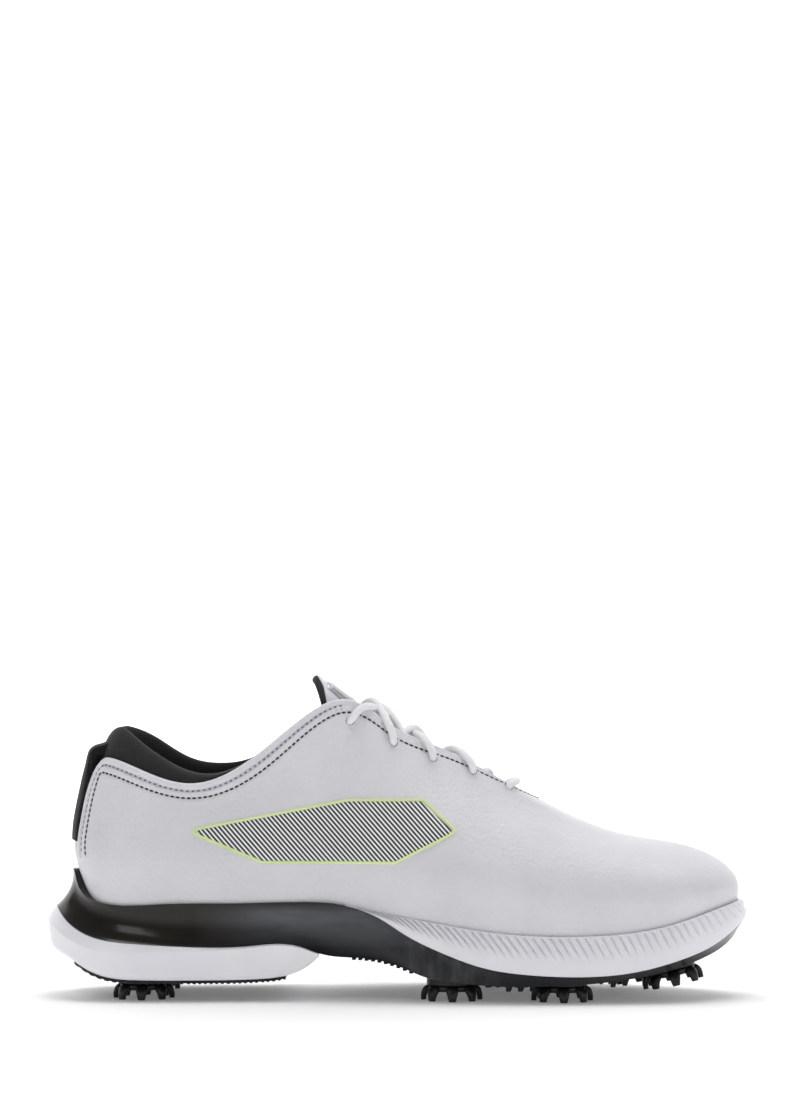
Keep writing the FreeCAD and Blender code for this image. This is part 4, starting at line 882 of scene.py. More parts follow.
# How far the collar's padding stands above the leather's edge, by x, on each side.
COLLAR_RISE = {
    1: [(-135.0, 11.0), (-125.0, 11.5), (-117.0, 12.3), (-109.0, 12.6), (-98.5, 10.6), (-88.0, 7.8),
        (-78.0, 5.2), (-70.5, 2.4), (-64.4, 0.2), (-54.0, -1.8), (-40.0, -3.0)],
    -1: [(-135.0, 11.0), (-125.0, 11.0), (-117.0, 9.6), (-108.0, 7.6), (-99.0, 6.2), (-90.0, 4.0),
         (-83.0, 2.2), (-76.0, 0.4), (-66.0, -1.2), (-54.0, -2.4), (-40.0, -3.0)],
}
# Cross-section of the padding: distance inwards in shares of its thickness, height above the leather's
# edge, and the share of the crest's rise that is added to that height.
PAD_SECTION = [
    (0.0, -7.0, 0.0), (0.0, -2.0, 0.0), (-0.02, 0.0, 0.35), (0.08, 0.0, 0.78), (0.36, 0.0, 1.0),
    (0.64, -0.6, 0.97), (0.84, -2.6, 0.8), (0.93, -6.2, 0.55), (0.91, -8.3, 0.35), (1.0, -12.0, 0.15),
    (0.86, -18.0, 0.0), (0.5, -25.0, 0.0), (0.24, -28.5, 0.0), (0.06, -27.0, 0.0), (0.0, -18.0, 0.0),
]


PAD_FRONT = -42.0


def closed_through(points, count):
    """Samples of a smooth closed curve through points, which may be (..., n, 3)."""
    wrap = 4
    total = points.shape[-2]
    padded_points = np.concatenate([points[..., -wrap:, :], points, points[..., :wrap, :]], axis=-2)
    knots = np.arange(total + 2 * wrap, dtype=float)
    spline = Spline(knots, np.moveaxis(padded_points, -2, 0).reshape(total + 2 * wrap, -1))
    samples = spline.at(wrap + np.arange(count) * total / count)
    return np.moveaxis(samples.reshape((count,) + points.shape[:-2] + (3,)), 0, -2)


def collar_turns():
    """Turns from the medial front end of the padding, round the heel, to the lateral one."""
    lateral, medial = (turn_at_x(PAD_FRONT, side, 1.0) for side in (1, -1))
    return np.linspace(medial - 2.0, lateral, 240)


def build_collar():
    """Padded collar: a soft crest above the leather that rolls over and runs down inside the heel."""
    turns = collar_turns()
    ribs = Ribs(turns)
    edge, normals = surface(turns, ribs.length, 0.0)
    rise = np.zeros(len(turns))
    for side in (1, -1):
        table = Spline([x for x, up in COLLAR_RISE[side]], [(up,) for x, up in COLLAR_RISE[side]])
        heights = table.at(np.clip(edge[:, 0], -135.0, -40.0))[:, 0]
        rise = np.where(np.sign(turns) == side, heights, rise)
    rise = np.where(np.abs(turns) < 0.01, 11.0, rise)
    rise = np.convolve(np.pad(rise, 6, mode="edge"), np.ones(13) / 13.0, mode="valid")
    inward = -normals.copy()
    inward[:, 2] = 0.0
    inward = unit(inward)
    thickness = 4.2 + 5.0 * smooth_step(-edge[:, 0], 48.0, 100.0)
    shares = np.array(PAD_SECTION)
    start = edge + inward * 2.0
    level = shares[:, 1][None] + shares[:, 2][None] * (rise[:, None] + 2.4)
    lean = 0.22 * np.clip(level, 0.0, None)
    down_slope = 0.12 * np.clip(-level, 0.0, None)
    across = shares[:, 0][None] * thickness[:, None] + lean - down_slope
    control = start[:, None] + inward[:, None] * across[..., None] + UP * level[..., None]
    shape = capped(closed_through(control, 60))
    piece = make_piece("collar_padding", shape, "black_knit", ["collar_pad", "collar_lining"])


STRAP_LINE = [
    (-140.5, 67.0), (-140.4, 71.0), (-139.6, 78.0), (-138.0, 86.5), (-136.3, 94.4), (-134.6, 101.5),
    (-133.2, 105.6), (-130.6, 107.5), (-127.2, 108.5), (-123.6, 110.8), (-120.3, 112.6), (-117.4, 112.0),
]


def build_strap():
    """Woven strap up the back of the heel, folded over the collar's crest."""
    line = through([(x, MIDLINE, z) for x, z in STRAP_LINE], 90)
    across = np.linspace(-1.0, 1.0, 25)
    below = np.linspace(0.0, 50.0, 201)
    height = Ribs(0.0).length - np.interp(-line[:, 2], -below_top(0.0, below)[:, 2], below)
    offset = skin(across * TAB_TURN * 0.98, height[:, None]) - skin(0.0, height)[:, None]
    narrow = 1.0 - 0.12 * smooth_step(line[:, 2], 96.0, 112.0)
    outer = line[:, None] + offset * narrow[:, None, None]
    outward = unit(np.cross(unit(np.gradient(outer, axis=1)), unit(np.gradient(outer, axis=0))))
    outward *= np.sign(0.8 * outward[..., 2:] - outward[..., :1])
    edge = 1.0 - np.abs(across) ** 8
    outer = outer + outward * (0.45 * edge - 0.45)[None, :, None]
    thick = 0.9 + 3.4 * smooth_step(line[:, 2], 80.0, 101.0)
    inner = outer - outward * (0.7 * edge[None] + thick[:, None])[..., None]
    make_piece("heel_strap", slab(outer, inner), "black_strap", ["heel_tab"])


# ---------------------------------------------------------------- side panels

PANEL_CORNERS = [(-88.0, 71.0), (-20.0, 84.0), (12.0, 84.0), (26.0, 71.0), (0.0, 58.0), (-56.0, 58.0)]
PANEL_PROUD = -0.42


def spots(xs, zs, side):
    """Turns and heights of the upper's points that have these x and z on one side."""
    turns = (xs + 139.0) / 287.0
    heights = zs - 31.0
    for attempt in range(14):
        points = skin(mirrored(turns, side), heights)
        turns = turns + (xs - points[..., 0]) / GIRTH
        heights = heights + (zs - points[..., 2])
    return mirrored(turns, side), heights


def rounded_outline(corners, radius, step=0.8):
    """A closed polygon whose corners are arcs, as evenly spread points."""
    corners = np.array(corners, float)
    points = []
    for i, corner in enumerate(corners):
        before = unit(corners[i - 1] - corner)
        after = unit(corners[(i + 1) % len(corners)] - corner)
        half = 0.5 * math.acos(np.clip(np.dot(before, after), -1.0, 1.0))
        reach = radius / math.tan(half)
        share = np.linspace(0.0, 1.0, 9)[:, None]
        start, end = corner + before * reach, corner + after * reach
        points.append((1 - share) ** 2 * start + 2 * share * (1 - share) * corner + share ** 2 * end)
    loop = np.concatenate(points + [points[0][:1]])
    run = path_run(loop)
    at = np.linspace(0.0, run[-1], int(run[-1] / step), endpoint=False)
    return np.stack([np.interp(at, run, loop[:, k]) for k in range(2)], axis=-1)


def build_panels():
    """Slanted six-sided hatched film on each side, with a raised pale edge."""
    for name, side, shift in (("medial", -1, 0.0), ("lateral", 1, -6.0)):
        outline = rounded_outline([(x + shift, z) for x, z in PANEL_CORNERS], 1.6)
        middle = outline.mean(axis=0)
        plan = middle + (outline[None] - middle) * np.linspace(0.0, 1.0, 16)[1:, None, None]
        turns, heights = spots(plan[..., 0], plan[..., 1], side)
        centre = skin(*spots(middle[:1], middle[1:], side), PANEL_PROUD)
        film = skin(turns, heights, PANEL_PROUD)
        film[-1] = skin(turns[-1], heights[-1], 0.2)
        rows, count = film.shape[:2]
        faces = grid_quads(rows, count, close_columns=True)
        faces += [[rows * count, j, (j + 1) % count] for j in range(count)]
        shape = np.concatenate([film.reshape(-1, 3), centre]), faces
        make_piece("panel_film_" + name, shape, "graphic_panel", ["emblem_" + name])
        path, normals = surface(turns[-1], heights[-1], -0.25)
        wrapped = (np.concatenate([values[-2:], values, values[:2]]) for values in (path, normals))
        side_way, lift = path_frame(*wrapped)
        section = ellipse(0.58, 0.42, 10, power=0.7)
        shape = closed_grid(swept(path, side_way[2:-2], lift[2:-2], section))
        make_piece("panel_edge_" + name, shape, "graphic_panel", look=LIME_LOOK)


# ---------------------------------------------------------------- tongue

def tongue_arch_surface(x, share, depth):
    """Points of the tongue: share runs from -1 (medial edge) to 1 (lateral edge) over the arch."""
    x, share, depth = np.broadcast_arrays(*(np.asarray(a, float) for a in (x, share, depth)))
    angle = share * np.radians(tongue_arch(x))
    width, drop = tongue_half_width(x), tongue_drop(x)
    y = MIDLINE + width * np.sin(angle)
    z = ridge_height(x) - drop * (1.0 - np.cos(angle))
    slope = ridge_height(x + 0.5) - ridge_height(x - 0.5)
    lean = unit(np.stack([-slope, np.zeros_like(slope), np.ones_like(slope)], axis=-1))
    normal = lean * (width * np.cos(angle))[..., None]
    normal[..., 1] += drop * np.sin(angle)
    return np.stack([x, y, z], axis=-1) - unit(normal) * depth[..., None]


WING_BELOW = 15.0
WING_DEPTH = 7.7


def tongue_surface(x, share, depth):
    """The tongue's arch with its edges spread out as wings under the facings, clear of the lace."""
    x, share, depth = np.broadcast_arrays(*(np.asarray(a, float) for a in (x, share, depth)))
    points = tongue_arch_surface(x, share, depth)
    stations = np.linspace(TONGUE_TOP, TONGUE_BASE, 60)
    spread = smooth_step(np.abs(share), 0.4, 1.0) * smooth_step(x, -24.0, -6.0)
    for side in (1, -1):
        wing = below_top(turn_at_x(stations, side, WING_BELOW), WING_BELOW, WING_DEPTH)
        shift = wing - tongue_arch_surface(stations, float(side), 0.0)
        moved = np.stack([np.interp(x, stations, shift[:, k]) for k in range(3)], axis=-1)
        moved[..., 0] = 0.0
        points = points + moved * (spread * (np.sign(share) == side))[..., None]
    return points


def tongue_sheet(first_x, last_x, reach, outer_depth, inner_depth, rows=90, columns=60):
    """A closed layer of the tongue; last_x is a function of share, and the depths are of (x, share)."""
    share = np.linspace(-reach, reach, columns)[None]
    along = np.linspace(0.0, 1.0, rows)[:, None]
    x = first_x + (last_x(share) - first_x) * along
    outer, inner = (tongue_surface(x, share, depth(x, share)) for depth in (outer_depth, inner_depth))
    return slab(outer, inner)


TONGUE_BASE = TONGUE_RIDGE[0][0]
TONGUE_TOP = TONGUE_RIDGE[-1][0]
REAR_SWEEP = 4.5
ROLL_MIDDLE, ROLL_RADIUS = 2.1, 1.7


def tongue_rear(share):
    """The free end, which is swept forward at its sides."""
    return TONGUE_TOP + REAR_SWEEP * share ** 2


def binding_seam(share):
    """Where the leather meets the black rolled edge: narrow at the tip, wider down the sides."""
    return tongue_rear(share) + 0.9 + 1.9 * smooth_step(np.abs(share), 0.12, 0.5)


def build_tongue():
    """Leather face, padded black backing, rolled black top edge and a satin badge."""
    def dished(x, share):
        slot = hump(x, -24.0, 8.0) * hump(share, 0.0, 0.5)
        return 0.35 * np.abs(share) ** 6 - 0.12 * slot

    shape = tongue_sheet(TONGUE_BASE, binding_seam, 1.0, dished, lambda x, share: 1.2)
    make_piece("tongue_leather", shape, "white_leather", ["tongue_face"], "tongue")

    def swell(x, share):
        ends = smooth_step(x, TONGUE_TOP, TONGUE_TOP + 5.0) * (1.0 - smooth_step(x, 45.0, 60.0))
        across = 1.0 - np.abs(share) ** 3
        quilt = 0.35 * np.abs(np.sin(math.pi * (x - TONGUE_TOP) / 13.0)) ** 0.6
        return 2.0 + (2.1 + quilt) * ends * across

    shape = tongue_sheet(TONGUE_BASE, lambda share: tongue_rear(share) + 1.2, 0.985,
                         lambda x, share: 1.3, swell)
    piece = make_piece("tongue_padding", shape, "black_knit", ["tongue_foam_pad", "tongue_lining"], "tongue")

    share = np.linspace(-1.0, 1.0, 90)[None]
    around_edge = np.linspace(-0.5 * math.pi, 0.5 * math.pi, 15)[:, None]
    roll = np.clip(np.cos(around_edge), 0.0, 1.0) ** 0.75
    seam_x = binding_seam(share)
    edge_x = seam_x + (tongue_rear(share) - seam_x) * roll
    end = tongue_surface(edge_x, share, ROLL_MIDDLE + ROLL_RADIUS * np.sin(around_edge))
    grid = np.concatenate([end, tongue_surface(seam_x, share, ROLL_MIDDLE)])
    rows, columns = grid.shape[:2]
    faces = grid_quads(rows, columns, close_rows=True)
    faces += [[j * columns for j in range(rows)], [j * columns - 1 for j in range(rows, 0, -1)]]
    make_piece("tongue_binding", (grid, faces), "black_knit", body="tongue")

    badge_start, badge_end, reach = -16.5, -29.6, 0.40
    badge_middle, badge_half = 0.5 * (badge_start + badge_end), 0.5 * (badge_start - badge_end)

    def plate(x, share):
        u = np.clip(np.abs(share) / reach, 0.0, 1.0)
        v = np.clip(np.abs(x - badge_middle) / badge_half, 0.0, 1.0)
        rim = 1.0 - np.clip(u ** 10 + v ** 10, 0.0, 1.0)
        groove = hump(np.maximum(u, v), 0.8, 0.06)
        bar = hump(u, 0.0, 0.14) * (1.0 - smooth_step(v, 0.5, 0.62))
        return -0.1 - 0.75 * rim + 0.28 * groove + 0.42 * bar

    shape = tongue_sheet(badge_start, lambda share: badge_end, reach, plate, lambda x, share: 0.1, 60, 60)
    make_piece("tongue_plate", shape, "badge", ["tongue_badge"], "tongue")


# ---------------------------------------------------------------- lace

LACE_OVER = -2.3
LACE_OVER_BAND = LACE_OVER - 0.6
LACE_UNDER = INNER_FACE + 2.0
LACE_RISE = 4.0
LACE_CROSSING = 3.7
LACE_STEP = 0.42


def throat_edge(side, x, depth):
    """A point over or under the throat's edge at x."""
    return below_top(turn_at_x(x, side, 1.2), 1.2, depth)


def over_tongue(x, rise):
    """A point above the tongue's ridge line."""
    return np.array([x, MIDLINE, ridge_height(x) + rise])


def hole(side, number, depth):
    turn, height = HOLES[side, number]
    return skin(turn, height, depth)


def strand_route(side):
    """One half of the lace: under the bottom facing, five crossings, then tucked inside the top."""
    rise = LACE_RISE + (LACE_CROSSING if side > 0 else 0.0)
    last = len(EYELETS) - 1
    middle = (hole(side, last, 0.0)[0] + hole(-side, last - 1, 0.0)[0]) / 2.0
    route = [
        hole(side, last, LACE_OVER),
        hole(side, last, LACE_UNDER),
        throat_edge(side, middle + 4.0, LACE_UNDER),
        over_tongue(middle, rise),
        throat_edge(-side, middle - 4.0, LACE_UNDER),
        hole(-side, last - 1, LACE_UNDER),
    ]
    side = -side
    for number in range(last - 1, 0, -1):
        x_from = hole(side, number, 0.0)[0]
        step = (hole(-side, number - 1, 0.0)[0] - x_from) / 4.0
        route += [
            hole(side, number, LACE_OVER),
            throat_edge(side, x_from + step * 0.9, LACE_OVER_BAND),
            over_tongue(x_from + 2.0 * step, rise),
            throat_edge(-side, x_from + 3.1 * step, LACE_UNDER),
            hole(-side, number - 1, LACE_UNDER),
        ]
        side = -side
    tucked = turn_at_x(12.0, -side, 10.0)
    return route + [
        hole(side, 0, LACE_OVER),
        throat_edge(side, -13.5, LACE_OVER_BAND - 1.2),
        over_tongue(-3.0, rise),
        throat_edge(-side, 7.2, LACE_UNDER),
        below_top(tucked, 9.0, LACE_UNDER),
        below_top(tucked, 17.0, LACE_UNDER),
    ]


def nurbs_line(route):
    """Points read from a NURBS curve that has the route's points as its control points."""
    curve = bpy.data.curves.new("lace_route", "CURVE")
    curve.dimensions = "3D"
    curve.resolution_u = 24
    spline = curve.splines.new("NURBS")
    spline.points.add(len(route) - 1)
    for place, point in zip(spline.points, route):
        place.co = (*(point * MM), 1.0)
    spline.order_u = 3
    spline.use_endpoint_u = True
    holder = bpy.data.objects.new("lace_route", curve)
    bpy.context.scene.collection.objects.link(holder)
    bpy.context.view_layer.update()
    evaluated = holder.evaluated_get(bpy.context.evaluated_depsgraph_get())
    mesh = bpy.data.meshes.new_from_object(evaluated)
    line = np.array([vertex.co[:] for vertex in mesh.vertices]) / MM
    bpy.data.objects.remove(holder)
    bpy.data.curves.remove(curve)
    bpy.data.meshes.remove(mesh)
    return line


def build_lace():
    """Round braided lace, laced through every hole, with both ends tucked inside."""
    first, second = strand_route(1), strand_route(-1)
    route = first[::-1] + [over_tongue(54.0, 9.4)] + second
    line = nurbs_line(route)
    path = resample(line, line, LACE_STEP)[0]
    normals = transported(path)
    angle = circle(16)
    run = np.arange(len(path))[:, None] * LACE_STEP
    braid = np.abs(np.sin(4.0 * angle + run * 1.5) * np.sin(4.0 * angle - run * 1.5))
    radius = LACE_RADIUS - 0.14 + 0.24 * braid
    section = np.stack([np.cos(angle) * radius, np.sin(angle) * radius], axis=-1)
    make_piece("lace_cord", tube(path, normals, section), "lace_white", ["lace"])


# ---------------------------------------------------------------- sole

PROFILE_GAP = 0.15
TREAD = 1.6


def above_chassis(x):
    return chassis_top(x) + PROFILE_GAP


def below_chassis(x):
    return chassis_bottom(x) - PROFILE_GAP


def at_stations(turns, table):
    """A value given at the eleven stations, the same on both sides."""
    return Spline(STATION, [(value,) for value in table]).at(np.minimum(turns, 2.0 - turns))[..., 0]


class Wall:
    """Points that stand out from the bite line in plan."""

    def __init__(self, turns):
        self.line = RINGS[BITE].at(turns)
        along = RINGS[BITE].at(turns + 0.004) - RINGS[BITE].at(turns - 0.004)
        self.out = unit(np.stack([-along[..., 1], along[..., 0], np.zeros(len(turns))], axis=-1))

    def at(self, out, height):
        """out is a distance for each turn; height is a value or a function of x."""
        points = self.line + self.out * np.asarray(out)[..., None]
        points[..., 2] = height(points[..., 0]) if callable(height) else height
        return points


def wall_rows(wall, low_out, high_out, low_height, high_height, shares, swell, relief=None):
    """Rows up a wall from its low edge to its high edge; swell pushes each row out."""
    low, high = wall.at(low_out, low_height), wall.at(high_out, high_height)
    rows = []
    for share in shares:
        row = low + (high - low) * share
        push = swell(share)
        if relief is not None:
            push = push + relief(row, share)
        rows.append(row + wall.out * np.broadcast_to(push, row.shape[:1])[:, None])
    return rows


def sole_loft(name, turns, rows_of, slot, replaces, floor, under, across=14):
    """A sole part lofted from heel to toe: wall, floor and underside, the same way on both sides."""
    sides = [rows_of(mirrored(turns, side)) for side in (1, -1)]
    lateral, medial = (np.stack(rows, axis=1) for rows in sides)
    share = np.linspace(0.0, 1.0, across)[1:-1][None, :, None]
    top = lateral[:, -1:] + (medial[:, -1:] - lateral[:, -1:]) * share
    bottom = medial[:, :1] + (lateral[:, :1] - medial[:, :1]) * share
    top[..., 2] = floor(top[..., 0])
    bottom[..., 2] = under(bottom)
    grid = np.concatenate([lateral, top, medial[:, ::-1], bottom], axis=1)
    rows, columns = grid.shape[:2]
    faces = grid_quads(rows, columns, close_columns=True)
    faces += [list(range(columns - 1, -1, -1)), list(range((rows - 1) * columns, rows * columns))]
    make_piece(name, (grid, faces), slot, [replaces], sharp=35.0)


def lofted_turns(first, last, step=1.1):
    return np.linspace(first, last, int((last - first) * GIRTH / step))


def inner_ledge(wall, out, top_height):
    """The inside of a rim: over its top, down along the upper, to the dish's floor."""
    def dish(x):
        return np.minimum(dish_floor(x), top_height(x))

    top = [wall.at(place, top_height) for place in (out - 0.5, out * 0.5 + 0.15, 0.3)]
    return top + [wall.at(0.3, dish), wall.at(-3.0, dish)]


# Behind this x the chassis rises to a fin, whose top runs level up to the leather.
FIN_START = -120.0


def chassis_rows(turns):
    wall = Wall(turns)
    low, high = at_stations(turns, CHASSIS_LOW), at_stations(turns, CHASSIS_HIGH)
    depth = np.minimum(2.4, 0.35 * (low + high)) * (1.0 - smooth_step(wall.line[:, 0], -10.0, 40.0)) + 0.15

    def swell(share):
        return -depth * math.sin(math.pi * share ** 0.9) ** 0.9

    shares = np.concatenate([[0.0, 0.03], np.linspace(0.08, 0.92, 14), [0.97, 1.0]])
    rows = wall_rows(wall, low, high, chassis_bottom, chassis_top, shares, swell)
    edge = rows[-1][:, 2]

    def ledge_top(x):
        return np.where(wall.line[:, 0] < FIN_START, np.maximum(edge, chassis_top(x)), chassis_top(x))

    return rows + inner_ledge(wall, high, ledge_top)


RIB_PITCH = 3.3
RIB_DEPTH = 1.5
RIB_GROOVE = 0.16
# How far a rib's line moves towards the heel from the bottom to the top of the wall.
RIB_LEAN_ARCH = 15.0
RIB_LEAN_TOE = 6.0


def ribbed(row, share):
    """Sawtooth ribs on the upper half of the midsole's wall, raked towards the toe."""
    lean = RIB_LEAN_ARCH + (RIB_LEAN_TOE - RIB_LEAN_ARCH) * smooth_step(row[:, 0], 0.0, 120.0)
    phase = np.mod((row[:, 0] + lean * share) / RIB_PITCH, 1.0)
    groove = hump(phase, 0.5, RIB_GROOVE) + 0.35 * np.clip(phase - 0.5, 0.0, 0.5)
    fade = smooth_step(share, 0.36, 0.66) * (1.0 - smooth_step(share, 0.93, 0.985))
    return -RIB_DEPTH * groove * fade * smooth_step(row[:, 0], -21.0, -10.0)


def midsole_rows(turns):
    wall = Wall(turns)
    low = at_stations(turns, CHASSIS_HIGH) + 0.1
    high = at_stations(turns, MIDSOLE_HIGH)

    def swell(share):
        return 1.35 * math.sin(math.pi * share) ** 0.8

    shares = np.concatenate([[0.0, 0.03, 0.1, 0.18, 0.27, 0.34], np.linspace(0.39, 0.94, 24),
                             [0.96, 0.985, 1.0]])
    rows = wall_rows(wall, low, high, above_chassis, midsole_top, shares, swell, ribbed)
    return rows + inner_ledge(wall, high, midsole_top)


def wedge_rows(turns):
    wall = Wall(turns)
    low, high = at_stations(turns, WEDGE_LOW), at_stations(turns, WEDGE_HIGH)
    bulge = at_stations(turns, WEDGE_SWELL)
    crease = 0.70 + 0.26 * smooth_step(wall.line[:, 0], -136.0, -60.0)

    def swell(share):
        below = np.clip(share / crease, 0.0, 1.0)
        above = np.clip((1.0 - share) / (1.0 - crease), 0.0, 1.0)
        return np.where(share < crease, bulge * (0.72 + 0.28 * below) * np.minimum(1.0, 5.0 * below) ** 0.6,
                        bulge * above ** 0.9)

    shares = np.concatenate([[0.0, 0.02, 0.05, 0.1], np.linspace(0.16, 0.7, 12), np.linspace(0.73, 0.93, 12),
                             [0.96, 0.985, 1.0]])
    rows = wall_rows(wall, low, high, wedge_bottom, below_chassis, shares, swell)
    return rows + [wall.at(high - 2.5, below_chassis)]


def tread_rows(turns):
    wall = Wall(turns)
    low = at_stations(turns, WEDGE_LOW)
    teeth = 0.4 * (np.mod(wall.line[:, 0] / 2.4, 1.0) < 0.5)

    def bottom(x):
        return wedge_bottom(x) - TREAD + teeth

    def top(x):
        return wedge_bottom(x) - PROFILE_GAP + 0.1

    heights = [(low - 1.6, bottom), (low - 0.5, bottom), (low + 0.1, lambda x: bottom(x) + 0.5),
               (low + 0.25, lambda x: top(x) - 0.3), (low - 0.1, top)]
    return [wall.at(inset, height) for inset, height in heights]


def turn_of_bite(x):
    """The turn where the bite line passes x."""
    turns = np.linspace(0.0, 1.0, 2001)
    return np.interp(x, RINGS[BITE].at(turns)[:, 0], turns)


def treaded(profile_height, depth=0.0):
    """Underside with shallow cross channels."""
    def under(points):
        channels = depth * (np.mod(points[..., 0] / 9.0, 1.0) < 0.18)
        return profile_height(points[..., 0]) + channels
    return under


def build_sole():
    """Chassis, midsole, heel wedge and heel tread."""
    def chassis_floor(x):
        return np.minimum(dish_floor(x), chassis_top(x))

    def tread(x):
        return wedge_bottom(x) - TREAD

    sole_loft("sole_cradle", lofted_turns(0.0, 1.0), chassis_rows, "smoke_plastic", "sole_chassis",
              chassis_floor, treaded(chassis_bottom, 0.5))
    sole_loft("forefoot_foam", lofted_turns(turn_of_bite(-20.6), 1.0, 0.27), midsole_rows, "midsole_white",
              "forefoot_midsole", dish_floor, treaded(above_chassis))
    sole_loft("heel_foam", lofted_turns(0.0, turn_of_bite(-32.0)), wedge_rows, "midsole_white", "heel_wedge",
              below_chassis, treaded(wedge_bottom))
    sole_loft("heel_grip", lofted_turns(turn_of_bite(-128.0), turn_of_bite(-46.0), 0.4), tread_rows,
              "black_rubber", "heel_tread", lambda x: wedge_bottom(x) - PROFILE_GAP, treaded(tread, 0.8))


TOOTH_SIDES = 20
# How wide a tooth still is, by the share of its height.
TOOTH_TAPER = [(1.0, 0.0), (0.98, 0.15), (0.86, 0.5), (0.72, 0.85), (0.66, 0.97), (0.5, 1.0)]


def tooth(x, y, top, length, width, height, lean=0.0):
    """A tapered traction tooth that hangs from a height, with a blunt rounded tip."""
    rings = []
    for share, depth in TOOTH_TAPER:
        outline = ellipse(length * 0.5 * share, width * 0.5 * share, TOOTH_SIDES, power=0.55)
        level = np.full((TOOTH_SIDES, 1), top - height * depth)
        rings.append(np.hstack([outline + (x + lean * depth, y), level]))
    last = TOOTH_SIDES * (len(rings) - 1)
    faces = grid_quads(len(rings), TOOTH_SIDES, close_columns=True)
    faces += [list(range(TOOTH_SIDES)), list(range(last + TOOTH_SIDES - 1, last - 1, -1))]
    return np.concatenate(rings), faces


# Rows of teeth: first x, how many, pitch, y, length, width, height.
TOOTH_ROWS = [
    (-14.0, 4, 4.0, -12.0, 2.2, 11.0, 2.2), (44.0, 4, 4.0, -26.0, 2.4, 11.0, 2.0),
    (44.0, 4, 4.0, 6.0, 2.4, 11.0, 2.0), (88.0, 3, 4.0, -24.0, 2.4, 11.0, 2.4),
    (44.0, 4, 5.0, 38.0, 3.0, 5.0, 2.2), (88.0, 3, 5.0, 22.0, 3.0, 6.0, 2.4),
    (-17.0, 10, 2.7, -28.5, 2.5, 4.0, 1.5), (-17.0, 10, 2.7, 33.0, 2.5, 4.0, 1.5),
    (48.0, 3, 5.0, -41.0, 3.0, 4.0, 2.4), (92.0, 2, 5.0, -38.0, 3.0, 4.0, 3.0),
]


def build_teeth():
    """Small traction teeth under the arch and between the spikes."""
    teeth = []
    for first, count, pitch, y, length, width, height in TOOTH_ROWS:
        for number in range(count):
            x = first + pitch * number
            teeth.append(tooth(x, y, float(chassis_bottom(x)) + 0.3, length, width, height + 0.3, -0.5))
    make_piece("traction_teeth", join(teeth), "black_rubber", ["traction_lugs"], sharp=40.0)


# ---------------------------------------------------------------- spikes

LEG_COUNT = 8
RING_SIDES = 48
# Cross-section of the ring that joins the legs, (radius, height), and the height of the ground.
RING_SECTION = [(8.15, -0.35), (9.9, -0.3), (10.3, -0.7), (10.2, -2.3), (9.6, -2.8), (8.15, -2.75)]
GROUND = -6.6


def spike_leg():
    """One splayed petal leg along the spike's own +X."""
    line = through([(8.4, 0.0, -1.4), (10.1, 0.0, -1.7), (11.2, 0.0, -2.8), (11.8, 0.0, -4.4),
                    (11.9, 0.0, -6.55)], 16)
    share = np.linspace(0.0, 1.0, 16)
    half_width = 2.5 - 1.0 * share ** 2 + 0.2 * hump(share, 0.4, 0.25)
    half_thick = 1.25 + 0.3 * hump(share, 0.45, 0.3) - 0.15 * share
    normals = np.stack([np.ones(16), np.zeros(16), np.full(16, 0.7)], axis=-1)
    section = ellipse(1.0, 1.0, 14, power=0.7)[None] * np.stack([half_width, half_thick], axis=-1)[:, None]
    return tube(line, unit(normals), section)


def build_spike(name, x, y, z, tilt):
    """A ring round the hub with eight petal legs that reach the ground."""
    angle = circle(RING_SIDES)
    spokes = np.stack([np.cos(angle), np.sin(angle), np.zeros(RING_SIDES)], axis=-1)
    outline = np.array(RING_SECTION)
    ring = spokes[:, None] * outline[:, :1] + UP * outline[:, 1:]
    parts = [closed_grid(ring)]
    points, faces = spike_leg()
    points[:, 2] = np.maximum(points[:, 2], GROUND)
    for turn in circle(LEG_COUNT):
        spun = Matrix.Rotation(turn, 3, "Z")
        parts.append((points @ np.array(spun).T, faces))
    points, faces = join(parts)
    tilted = np.array(Matrix.Rotation(-math.radians(tilt), 3, "Y"))
    make_piece("spike_petals_" + name, (points @ tilted.T + (x, y, z), faces), "spike_rubber",
               ["spike_legs_" + name], "spike_" + name, sharp=50.0)


# ---------------------------------------------------------------- studio

def build_camera():
    camera = bpy.data.cameras.new("camera")
    camera.lens = 85.0
    camera.sensor_width = 36.0
    holder = bpy.data.objects.new("camera", camera)
    bpy.context.scene.collection.objects.link(holder)
    distance, height, aim_height = 1.135, 0.110, 0.194
    holder.location = (0.0, -distance, height)
    holder.rotation_euler = (math.atan2(distance, height - aim_height), 0.0, 0.0)
    bpy.context.scene.camera = holder


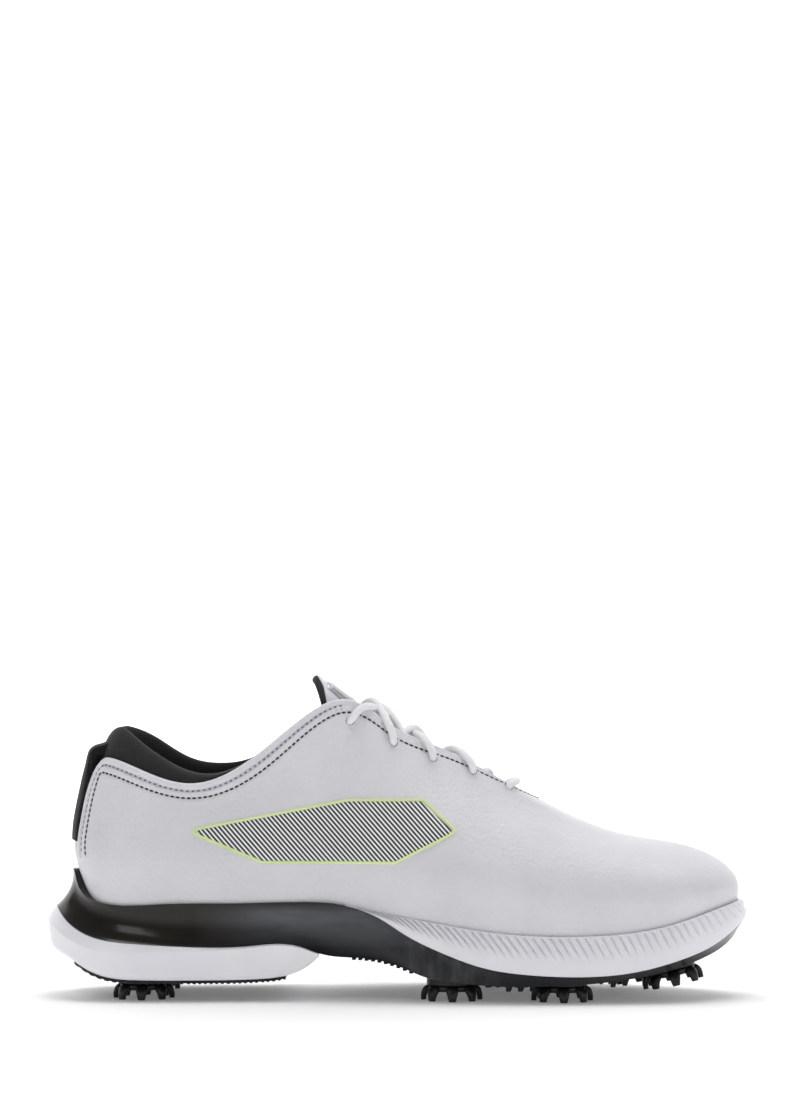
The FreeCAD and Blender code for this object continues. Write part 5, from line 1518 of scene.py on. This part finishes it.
def build_floor():
    """Plain pale sheet that curves up behind the shoe."""
    bend = np.linspace(0.0, 0.5 * math.pi, 24)
    radius, bend_start = 1.2, 1.6
    y = np.concatenate([[-4.0], bend_start + radius * np.sin(bend), [bend_start + radius]])
    z = np.concatenate([[0.0], radius * (1.0 - np.cos(bend)), [5.0]])
    x = np.linspace(-5.0, 5.0, 9)
    points = [(float(px), float(py), float(pz) - 0.0002) for py, pz in zip(y, z) for px in x]
    mesh = bpy.data.meshes.new("studio_floor")
    mesh.from_pydata(points, [], grid_quads(len(y), len(x)))
    mesh.shade_smooth()
    floor = bpy.data.objects.new("studio_floor", mesh)
    bpy.context.scene.collection.objects.link(floor)
    look = Look("studio sheet", 0.9)
    look.colour(look.noise(300.0), (0.92, 0.92, 0.925), (0.94, 0.94, 0.945))
    look.shader.inputs["Emission Color"].default_value = (1.0, 1.0, 1.0, 1.0)
    distance = add_node(look.tree, "ShaderNodeVectorMath", {0: look.place}, operation="LENGTH")
    glow = look.span(distance.outputs["Value"], 0.25, 1.7, 0.14, 0.80)
    look.tree.links.new(glow, look.shader.inputs["Emission Strength"])
    floor.data.materials.append(look.material)


def soft_light(name, place, aim, size, watts):
    lamp = bpy.data.lights.new(name, "AREA")
    lamp.shape = "RECTANGLE"
    lamp.size, lamp.size_y = size
    lamp.energy = watts
    holder = bpy.data.objects.new(name, lamp)
    bpy.context.scene.collection.objects.link(holder)
    holder.location = place
    direction = np.array(aim) - np.array(place)
    heading = math.atan2(direction[1], direction[0])
    pitch = math.acos(-direction[2] / np.linalg.norm(direction))
    holder.rotation_euler = (pitch, 0.0, heading - 0.5 * math.pi)


def build_studio():
    build_floor()
    world = bpy.data.worlds.new("studio")
    world.use_nodes = True
    background = world.node_tree.nodes["Background"]
    background.inputs["Color"].default_value = (1.0, 1.0, 1.0, 1.0)
    direction = add_node(world.node_tree, "ShaderNodeTexCoord").outputs["Generated"]
    height = add_node(world.node_tree, "ShaderNodeSeparateXYZ", {0: direction}).outputs[2]
    glow = add_node(world.node_tree, "ShaderNodeMapRange", {
        "Value": height, "From Min": 0.10, "From Max": 0.45, "To Min": 0.92, "To Max": 0.16})
    world.node_tree.links.new(glow.outputs[0], background.inputs["Strength"])
    bpy.context.scene.world = world
    bpy.context.scene.view_settings.view_transform = "Standard"
    soft_light("key", (-0.9, -1.3, 1.6), (0.0, 0.0, 0.05), (0.8, 0.8), 5.0)
    soft_light("top", (0.1, 0.2, 1.9), (0.0, 0.0, 0.05), (1.4, 1.0), 20.0)
    soft_light("fill", (1.4, -0.9, 0.7), (0.0, 0.0, 0.06), (1.0, 1.0), 2.0)


for build in (build_camera, build_leather, build_topline, build_eyelets, build_collar, build_strap,
              build_panels, build_tongue, build_lace, build_sole, build_teeth):
    build()
for spec in SPIKES:
    build_spike(*spec)
dress_cad_nodes()
build_studio()
